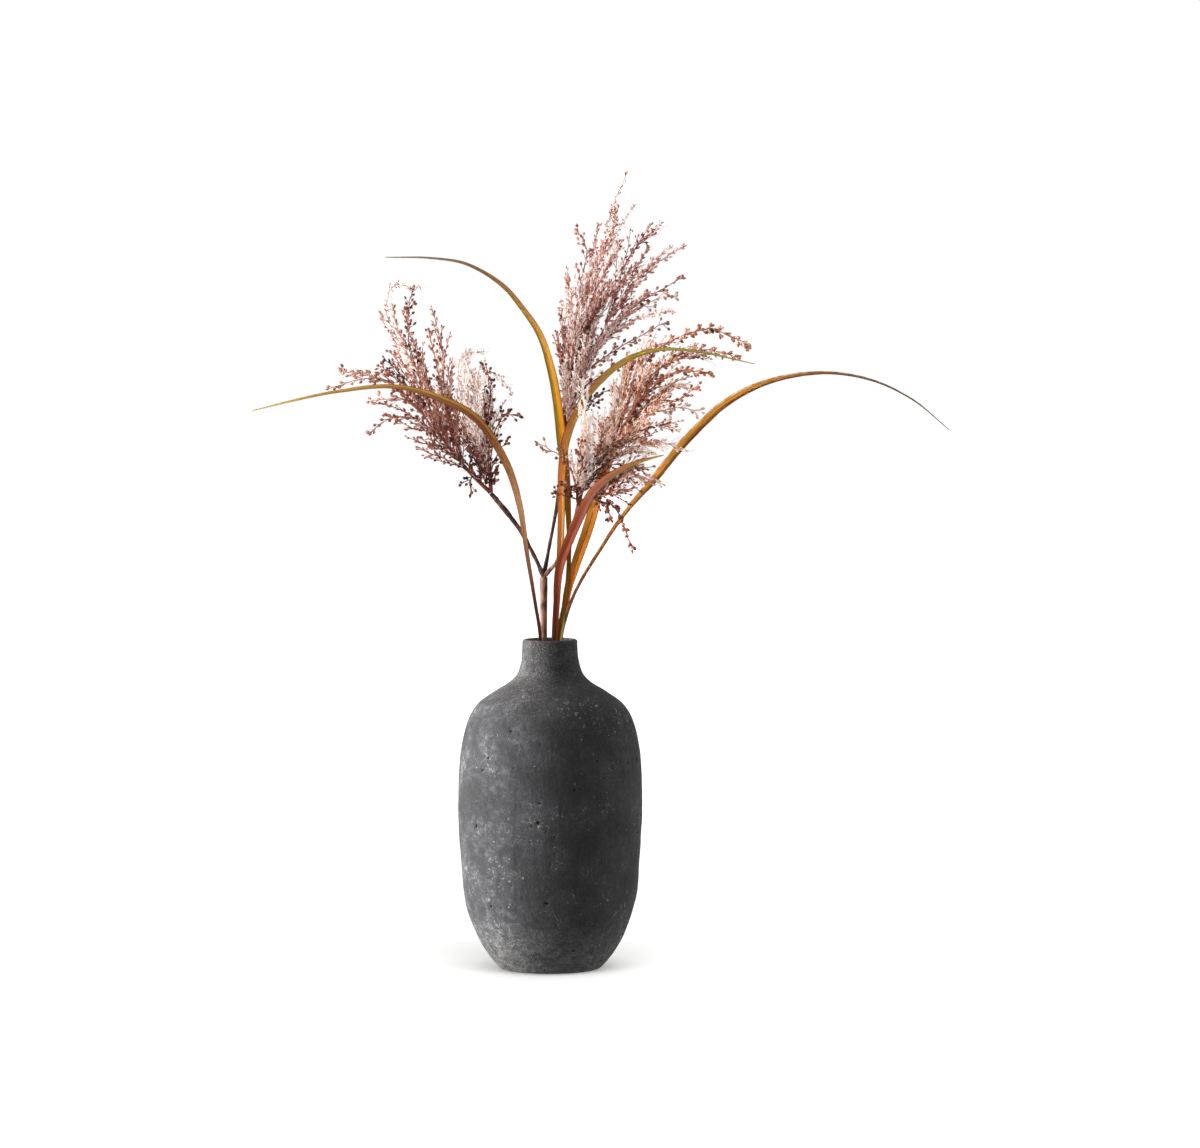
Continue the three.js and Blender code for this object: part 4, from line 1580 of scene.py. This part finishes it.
def copper_plume() -> SeedPlume:
    """The left plume: red-brown and copper, open at its ends, with one pale tuft.

    Returns:
        The plume with its forks, sprays and colours.
    """
    outer = PlumeFork(
        "left_plume_outer_fork",
        ((-46.4, 6.1, 369.5), (-63, 4, 386), (-76, 2, 402), (-88, 1, 417), (-100, 0, 432)),
        (
            Spray(0.75, ((-108, -10, 428), (-125, -18, 427), (-137, -25, 417)), Look.OPEN, 0.55),
            Spray(0.95, ((-114, 6, 442), (-140, 10, 440)), Look.OPEN, 0.55),
            Spray(1.0, ((-129, 20, 456), (-147, 24, 461), (-162, 26, 463)), Look.OPEN, 0.6),
            Spray(1.0, ((-119, -15, 453), (-136, -24, 459), (-169, -32, 451)), Look.OPEN, 0.55),
            Spray(0.9, ((-115, 34, 452), (-134, 44, 467)), Look.OPEN, 0.25),
            Spray(0.6, ((-97, 0, 453), (-115, -5, 484), (-126, -12, 512), (-120, -16, 530), (-101, -20, 528)),
                  Look.FINE, 0.75),
            Spray(0.65, ((-105, 14, 468), (-111, 22, 503), (-107, 26, 526)), Look.OPEN, 0.2),
            Spray(0.7, ((-101, -20, 453), (-121, -32, 478)), Look.OPEN, 0.5),
            Spray(0.5, ((-92, -6, 448), (-112, -12, 482), (-121, -18, 514)), Look.SLIM, 0.55),
            Spray(0.55, ((-92, 10, 446), (-104, 16, 478), (-114, 20, 508)), Look.SLIM, 0.45),
            Spray(0.75, ((-116, 32, 473), (-133, 44, 508)), Look.SLIM, 0.5),
            Spray(0.4, ((-81, 12, 440), (-84, 20, 478), (-90, 24, 507))),
            Spray(0.45, ((-84, -12, 453), (-93, -22, 495)), Look.OPEN, 0.4),
            Spray(0.5, ((-85, -12, 409), (-98, -18, 412)), Look.OPEN, 0.4),
            Spray(0.7, ((-100, -14, 425), (-118, -26, 436), (-134, -32, 440)), Look.SLIM, 0.5),
            Spray(0.6, ((-92, -6, 416), (-108, -10, 421), (-124, -14, 430)), Look.SLIM, 0.55),
            Spray(0.35, ((-78, 8, 400), (-90, 16, 404), (-104, 22, 408)), Look.SLIM, 0.4),
            Spray(0.2, ((-62, -6, 378), (-61, -8, 371)), Look.OPEN, 0.1),
            Spray(0.08, ((-51, 0, 382), (-56, -4, 393)), Look.CLUMPED, 0.2),
            Spray(0.15, ((-58, 10, 383), (-67, 14, 394)), Look.CLUMPED, 0.2),
            Spray(0.55, ((-96, 40, 450), (-103, 62, 479))),
            Spray(0.35, ((-79, 40, 433), (-78, 60, 464))),
            Spray(0.1, ((-56, -4, 392), (-66, -8, 410), (-72, -10, 424)), tone=0.25),
            Spray(0.25, ((-62, 14, 404), (-70, 20, 424)), tone=0.25),
            Spray(0.3, ((-74, -6, 398), (-88, -10, 408), (-96, -12, 420)), tone=0.35),
        ),
        seed=101,
        crowd=0.34,
    )
    inner = PlumeFork(
        "left_plume_inner_fork",
        ((-46, 6.1, 369.6), (-47, 7, 391), (-50, 8, 414), (-51, 9, 437), (-54, 10, 454)),
        (
            Spray(0.35, ((-67, 4, 437), (-71, 0, 463), (-67, -10, 477), (-53, -14, 479)), Look.FINE, 0.85),
            Spray(0.3, ((-61, -18, 426), (-64, -26, 453), (-63, -30, 470)), Look.TUFT, 0.85),
            Spray(0.5, ((-62, 0, 444), (-66, -4, 462), (-64, -8, 474)), Look.TUFT, 0.85),
            Spray(0.6, ((-55, 18, 464), (-41, 10, 460), (-30, 0, 448)), Look.FINE, 0.7),
            Spray(0.55, ((-46, -10, 445), (-49, -16, 468)), Look.OPEN, 0.15),
            Spray(0.25, ((-42, -6, 418), (-35, -14, 430), (-24, -22, 430)), Look.OPEN, 0.2),
            Spray(0.18, ((-41, 10, 399), (-33, 14, 410)), Look.OPEN, 0.1),
            Spray(0.05, ((-44, 2, 379), (-41, -2, 389)), Look.CLUMPED, 0.15),
            Spray(0.35, ((-48, 26, 431), (-57, 36, 456)), Look.TUFT, 0.7),
            Spray(0.15, ((-59, -8, 407), (-65, -16, 430)), tone=0.4),
            Spray(0.4, ((-57, 36, 433), (-62, 58, 460))),
            Spray(0.1, ((-50, -4, 388), (-56, -8, 404), (-60, -10, 420)), tone=0.25),
        ),
        seed=102,
        crowd=0.34,
    )
    return SeedPlume(
        "copper_plume",
        (outer, inner),
        twigs=("#442019", "#9a5846", "#cea290", "#f2e6de"),
        buds=("#312424", "#8a4f3f", "#c28c76", "#f0e1d6"),
        fibres=("#9c6050", "#d8a898", "#f4e2da", "#fffdfb"),
    )


def mauve_plume() -> SeedPlume:
    """The tall plume: mauve-brown, close and feathery, with a pale top.

    Returns:
        The plume with its forks, sprays and colours.
    """
    left = PlumeFork(
        "upper_plume_left_fork",
        ((10, 27.1, 416.2), (12, 28, 445), (15, 30, 480), (21, 32, 515)),
        (
            Spray(0.3, ((11, 18, 463), (10, 12, 489), (9, 8, 512)), tone=0.42),
            Spray(0.5, ((15, 46, 505), (13, 58, 533)), tone=0.45),
            Spray(0.95, ((25, 40, 538), (28, 46, 560), (21, 50, 572)), Look.OPEN, 0.3),
            Spray(0.9, ((31, 30, 526), (40, 26, 557), (47, 20, 587), (59, 14, 616)), Look.FINE, 0.6),
            Spray(0.85, ((31, 52, 546), (37, 64, 577)), Look.SLIM, 0.35),
            Spray(0.8, ((35, 16, 542), (48, 6, 571), (52, 0, 590)), Look.SLIM, 0.5),
            Spray(0.8, ((42, 48, 551), (52, 58, 573), (65, 66, 592)), Look.FINE, 0.85),
            Spray(0.6, ((37, 8, 530), (53, -6, 560)), tone=0.45),
            Spray(0.5, ((22, 8, 499), (23, -8, 526), (31, -14, 548)), Look.TUFT, 0.7),
            Spray(0.35, ((20, 22, 478), (33, 18, 508), (44, 14, 530)), tone=0.5),
            Spray(0.15, ((16, 34, 450), (27, 40, 480), (36, 44, 512)), tone=0.7),
            Spray(0.6, ((26, 24, 520), (36, 20, 548), (44, 18, 566)), tone=0.5),
        ),
        seed=103,
        crowd=0.4,
    )
    right = PlumeFork(
        "upper_plume_right_fork",
        ((10.5, 27.2, 416.4), (23, 29, 452), (36, 30, 484), (49, 30, 511)),
        (
            Spray(0.95, ((56, 24, 542), (69, 16, 562), (79, 10, 571)), tone=0.45),
            Spray(0.9, ((61, 48, 530), (70, 58, 548), (76, 62, 559)), Look.SLIM, 0.4),
            Spray(0.95, ((67, 34, 531), (82, 30, 546), (102, 26, 560)), Look.SLIM, 0.6),
            Spray(0.85, ((64, 14, 530), (79, 4, 548), (91, -4, 559)), Look.SLIM, 0.65),
            Spray(0.7, ((59, 20, 512), (77, 12, 521), (101, 2, 536)), Look.OPEN, 0.3),
            Spray(0.75, ((65, 46, 509), (82, 56, 519), (97, 62, 522)), Look.OPEN, 0.7),
            Spray(0.65, ((70, 2, 505), (93, -12, 510)), Look.SLIM, 0.7),
            Spray(0.45, ((48, 24, 478), (69, 34, 490), (90, 42, 501)), Look.OPEN, 0.45),
            Spray(0.3, ((42, 10, 461), (56, 2, 468), (67, -2, 472)), Look.OPEN, 0.2),
            Spray(0.15, ((32, 16, 441), (49, 8, 452)), Look.OPEN, 0.1),
            Spray(0.12, ((26, 38, 434), (39, 50, 440)), Look.OPEN, 0.1),
            Spray(0.2, ((24, 36, 468), (32, 40, 500), (42, 42, 530))),
            Spray(0.4, ((33, 20, 492), (44, 12, 520), (54, 8, 545)), Look.TUFT, 0.65),
            Spray(0.1, ((16, 20, 440), (20, 12, 462), (27, 6, 486)), tone=0.85),
            Spray(0.08, ((14, 34, 438), (14, 40, 462), (16, 44, 490)), tone=0.8),
            Spray(0.5, ((44, 18, 494), (58, 8, 508), (70, 0, 520)), tone=0.45),
        ),
        seed=104,
        crowd=0.45,
    )
    return SeedPlume(
        "mauve_plume",
        (left, right),
        twigs=("#4a2420", "#a46050", "#d8ac9d", "#f6ede7"),
        buds=("#362726", "#965747", "#cc9c8d", "#f4e7df"),
        fibres=("#ac6a5a", "#e2b0a2", "#f8e4da", "#fffcfa"),
    )


def peach_plume() -> SeedPlume:
    """The right plume: peach and copper above, red-brown below, with a pale strand beside it.

    Returns:
        The plume with its forks, sprays and colours.
    """
    main_fork = PlumeFork(
        "right_plume_main_fork",
        ((22.1, -8.1, 362.2), (26, -10, 375), (37, -14, 391), (49, -18, 408), (60, -22, 427), (69, -25, 443)),
        (
            Spray(0.85, ((77, -18, 475), (105, -12, 492), (125, -9, 496), (143, -6, 489), (153, -4, 483)),
                  Look.CLUMPED, 0.42),
            Spray(0.8, ((91, 4, 471), (120, 14, 480), (145, 20, 474)), Look.CLUMPED, 0.5),
            Spray(0.95, ((91, -35, 461), (109, -40, 465), (124, -44, 461)), Look.CLUMPED, 0.4),
            Spray(0.75, ((81, -34, 441), (97, -42, 442), (113, -48, 452)), Look.OPEN, 0.2),
            Spray(0.7, ((77, -14, 432), (98, -6, 435), (117, 0, 434)), Look.OPEN, 0.75),
            Spray(0.6, ((77, -42, 422), (91, -52, 423)), tone=0.5),
            Spray(0.45, ((69, -30, 407), (88, -38, 409), (103, -44, 404)), Look.FINE, 0.8),
            Spray(0.4, ((54, -30, 402), (70, -38, 408), (84, -44, 408)), Look.TUFT, 0.7),
            Spray(0.9, ((70, -32, 455), (81, -34, 469)), tone=0.65),
            Spray(0.4, ((42, -30, 417), (49, -32, 434), (49, -30, 453)), Look.TUFT, 0.8),
            Spray(0.35, ((39, -40, 408), (39, -48, 423)), tone=0.35),
            Spray(0.5, ((69, -50, 427), (86, -72, 444)), tone=0.6),
            Spray(0.65, ((77, -4, 438), (94, 14, 453)), tone=0.6),
            Spray(0.55, ((54, -14, 446), (62, -8, 466), (76, -2, 482)), tone=0.65),
            Spray(0.65, ((64, -20, 458), (72, -14, 474), (90, -8, 486)), tone=0.65),
            Spray(0.5, ((50, -8, 436), (56, 2, 456), (67, 8, 474)), Look.TUFT, 0.8),
            Spray(0.75, ((80, -20, 462), (100, -22, 474), (118, -20, 476)), tone=0.6),
            Spray(0.3, ((44, -8, 408), (58, 0, 424), (74, 6, 436)), tone=0.4),
            Spray(0.25, ((40, -28, 402), (56, -38, 410), (70, -44, 412)), tone=0.4),
            Spray(0.15, ((26, -20, 388), (28, -24, 402), (34, -26, 414)), Look.TUFT, 0.75),
            Spray(0.2, ((36, -24, 392), (42, -30, 404), (46, -32, 418)), Look.TUFT, 0.7),
            Spray(0.12, ((36, -20, 382), (52, -26, 386), (64, -28, 380)), tone=0.25),
        ),
        seed=105,
        crowd=0.45,
    )
    left = PlumeFork(
        "right_plume_left_fork",
        ((21.8, -8.6, 362.6), (20.5, -15, 374), (16, -22, 390)),
        (
            Spray(0.9, ((8, -27, 399), (-9, -30, 409)), Look.OPEN, 0.4),
            Spray(0.1, ((12, -19, 368), (5, -26, 371)), Look.OPEN, 0.2),
            Spray(0.35, ((16, -23, 373), (9, -31, 378)), Look.OPEN, 0.2),
            Spray(0.55, ((26, -28, 391), (28, -34, 415), (27, -37, 434), (26, -40, 451)), Look.TUFT, 0.9),
            Spray(0.3, ((21, -24, 392), (24, -30, 414), (24, -34, 436)), Look.TUFT, 0.95),
            Spray(0.5, ((25, -33, 396), (22, -40, 408)), Look.OPEN, 0.25),
        ),
        seed=106,
        crowd=0.67,
    )
    low = PlumeFork(
        "right_plume_low_fork",
        ((22.6, -8.1, 362.6), (31, -10, 366), (37, -14, 364)),
        (
            Spray(0.95, ((49, -22, 360), (57, -30, 345), (63, -36, 328)), Look.CLUMPED, 0.3),
            Spray(0.8, ((44, -24, 359), (47, -28, 350)), Look.CLUMPED, 0.25),
            Spray(0.7, ((46, -22, 371), (59, -28, 372)), tone=0.3),
            Spray(0.6, ((48, -16, 379), (66, -22, 389), (79, -28, 382)), tone=0.5),
        ),
        seed=107,
        crowd=0.67,
    )
    return SeedPlume(
        "peach_plume",
        (main_fork, left, low),
        twigs=("#50241a", "#b2664a", "#edb899", "#fef2e9"),
        buds=("#37241e", "#9e5a40", "#e0a582", "#fdecdd"),
        fibres=("#bc745a", "#f2b89c", "#fee8da", "#fffcf9"),
    )


# Studio


@dataclass
class Studio:
    """A white table, soft light from the left and the camera.

    Args:
        view_from: the camera's place in metres.
        view_to: the point that it looks at.
        lens: its focal length in millimetres on a 36 mm sensor.
    """

    view_from: tuple[float, float, float] = (0.0386, -3.6, 0.519)
    view_to: tuple[float, float, float] = (0.0386, 0.0, 0.3066)
    lens: float = 139.6

    def camera(self) -> None:
        """Place the camera where the photograph was taken from."""
        data = bpy.data.cameras.new("camera")
        data.lens = self.lens
        data.sensor_width = 36.0
        data.clip_end = 50.0
        camera = bpy.data.objects.new("camera", data)
        camera.location = self.view_from
        direction = Vector(self.view_to) - Vector(self.view_from)
        camera.rotation_euler = direction.to_track_quat("-Z", "Y").to_euler()
        bpy.context.scene.collection.objects.link(camera)
        bpy.context.scene.camera = camera

    def table(self) -> bpy.types.Object:
        """Lay a wide white table that glows a little, least round the vase's foot as a painted shadow, and
        sends no light back up to the object.

        Returns:
            The table.
        """
        points = 9000.0 * np.array([[-1, -1, 0], [1, -1, 0], [1, 1, 0], [-1, 1, 0]])
        s = Shading("white_light_table")
        # Painted shadow: the glow is weakest round the origin, under the vase, and grows outwards.
        away = s.add("ShaderNodeVectorMath", "Value", {"operation": "LENGTH", 0: s.place})
        fade = {"Value": away, "From Min": 0.12, "From Max": 1.6, "To Min": 0.24, "To Max": 0.7}
        s.dress({
            "Base Color": s.ramp(s.noise(60.0, detail=2), ((0.0, "#ececeb"), (1.0, "#f0f0ef"))),
            "Roughness": 0.9,
            "Specular IOR Level": 0.1,
            "Emission Color": "#ffffff",
            "Emission Strength": s.add("ShaderNodeMapRange", "Result", fade),
        })
        floor = Surface(points, [np.array([[0, 1, 2, 3]])]).to_object("table", s.material, smooth=False)
        floor.visible_diffuse = False
        return floor

    @staticmethod
    def softbox(
        name: str,
        place: Sequence[float],
        aim: Sequence[float],
        size: tuple[float, float],
        power: float,
        spread: float = 180.0,
    ) -> bpy.types.Object:
        """Hang one soft lamp.

        Args:
            name: the lamp's name.
            place: where it hangs, in metres.
            aim: what it points at.
            size: its width and height in metres.
            power: its power in watts.
            spread: how widely it shines in degrees, less than 180 with a grid in front of it.

        Returns:
            The lamp.
        """
        data = bpy.data.lights.new(name, "AREA")
        data.shape = "RECTANGLE"
        data.size, data.size_y = size
        data.energy = power
        data.spread = math.radians(spread)
        lamp = bpy.data.objects.new(name, data)
        lamp.location = place
        lamp.rotation_euler = (Vector(aim) - Vector(place)).to_track_quat("-Z", "Y").to_euler()
        bpy.context.scene.collection.objects.link(lamp)
        return lamp

    @staticmethod
    def flag(lamp: bpy.types.Object, thing: bpy.types.Object, state: str) -> None:
        """Keep a lamp's light off one thing or on that thing alone, as black flags do.

        Args:
            lamp: the lamp.
            thing: what its light is kept off or on.
            state: EXCLUDE to keep it off, INCLUDE to keep it on that thing alone.
        """
        flagged = bpy.data.collections.new(f"{lamp.name}_flags")
        flagged.objects.link(thing)
        flagged.collection_objects[0].light_linking.link_state = state
        lamp.light_linking.receiver_collection = flagged

    def surroundings(self) -> None:
        """Fill the room: white to the eye, and as light brightest overhead and behind, dimmest in front."""
        world = bpy.data.worlds.new("white_studio")
        bpy.context.scene.world = world
        world.use_nodes = True
        tree = world.node_tree
        tree.nodes.clear()
        around = add_node(tree, "ShaderNodeTexCoord").outputs["Generated"]
        facing = add_node(tree, "ShaderNodeSeparateXYZ", {"Vector": around}).outputs
        # From above, below and behind: where light starts and is full, and its least and most.
        above, below, behind = (
            Pattern(add_node(tree, "ShaderNodeMapRange", {
                "interpolation_type": "SMOOTHSTEP", "Value": facing[axis],
                "From Min": start, "From Max": full, "To Min": least, "To Max": most,
            }).outputs["Result"])
            for axis, start, full, least, most in (
                ("Z", 0.1, 0.95, 0.07, 0.7), ("Z", -0.1, -0.8, 0.0, 0.35), ("Y", 0.0, 0.9, 0.0, 0.6),
            )
        )
        white = {"Color": "#ffffff"}
        fill = add_node(tree, "ShaderNodeBackground", white | {"Strength": above + below + behind}).outputs[0]
        seen = add_node(tree, "ShaderNodeBackground", white | {"Strength": 1.0}).outputs[0]
        eye = add_node(tree, "ShaderNodeLightPath").outputs["Is Camera Ray"]
        both = add_node(tree, "ShaderNodeMixShader", {0: eye, 1: fill, 2: seen}).outputs[0]
        add_node(tree, "ShaderNodeOutputWorld", {"Surface": both})

    def build(self) -> None:
        """Set up camera, table, lamps, surroundings and how colours are shown."""
        self.camera()
        table = self.table()
        self.surroundings()
        key = self.softbox("left_softbox", (-2.5, -0.2, 0.55), (0, 0, 0.33), (1.6, 1.0), 185.0)
        self.flag(key, table, "EXCLUDE")
        self.softbox("front_softbox_with_grid", (-0.5, -2.6, 0.95), (0.03, 0, 0.53), (0.8, 0.3), 0.65, 12.0)
        self.softbox("right_back_strip", (1.9, 0.9, 0.7), (0, 0, 0.25), (0.6, 0.8), 8.0)
        over_table = self.softbox("table_softbox", (0.1, -1.1, 2.0), (0, 0, 0), (1.6, 1.2), 30.0)
        self.flag(over_table, table, "INCLUDE")
        bpy.context.scene.view_settings.view_transform = "Standard"
        bpy.context.scene.view_settings.look = "None"


def main() -> None:
    logging.basicConfig(level=logging.INFO, format="%(message)s")
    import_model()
    Studio().build()
    sections = [CementVase(), WoodyStem(), copper_plume(), mauve_plume(), peach_plume()]
    pieces = [piece for section in sections for piece in section.build()]
    pieces += [blade.build() for blade in grass_blades()]
    for piece in pieces:
        log.info("%s: %d faces", piece.name, len(piece.data.polygons))


if __name__ == "__main__":
    main()
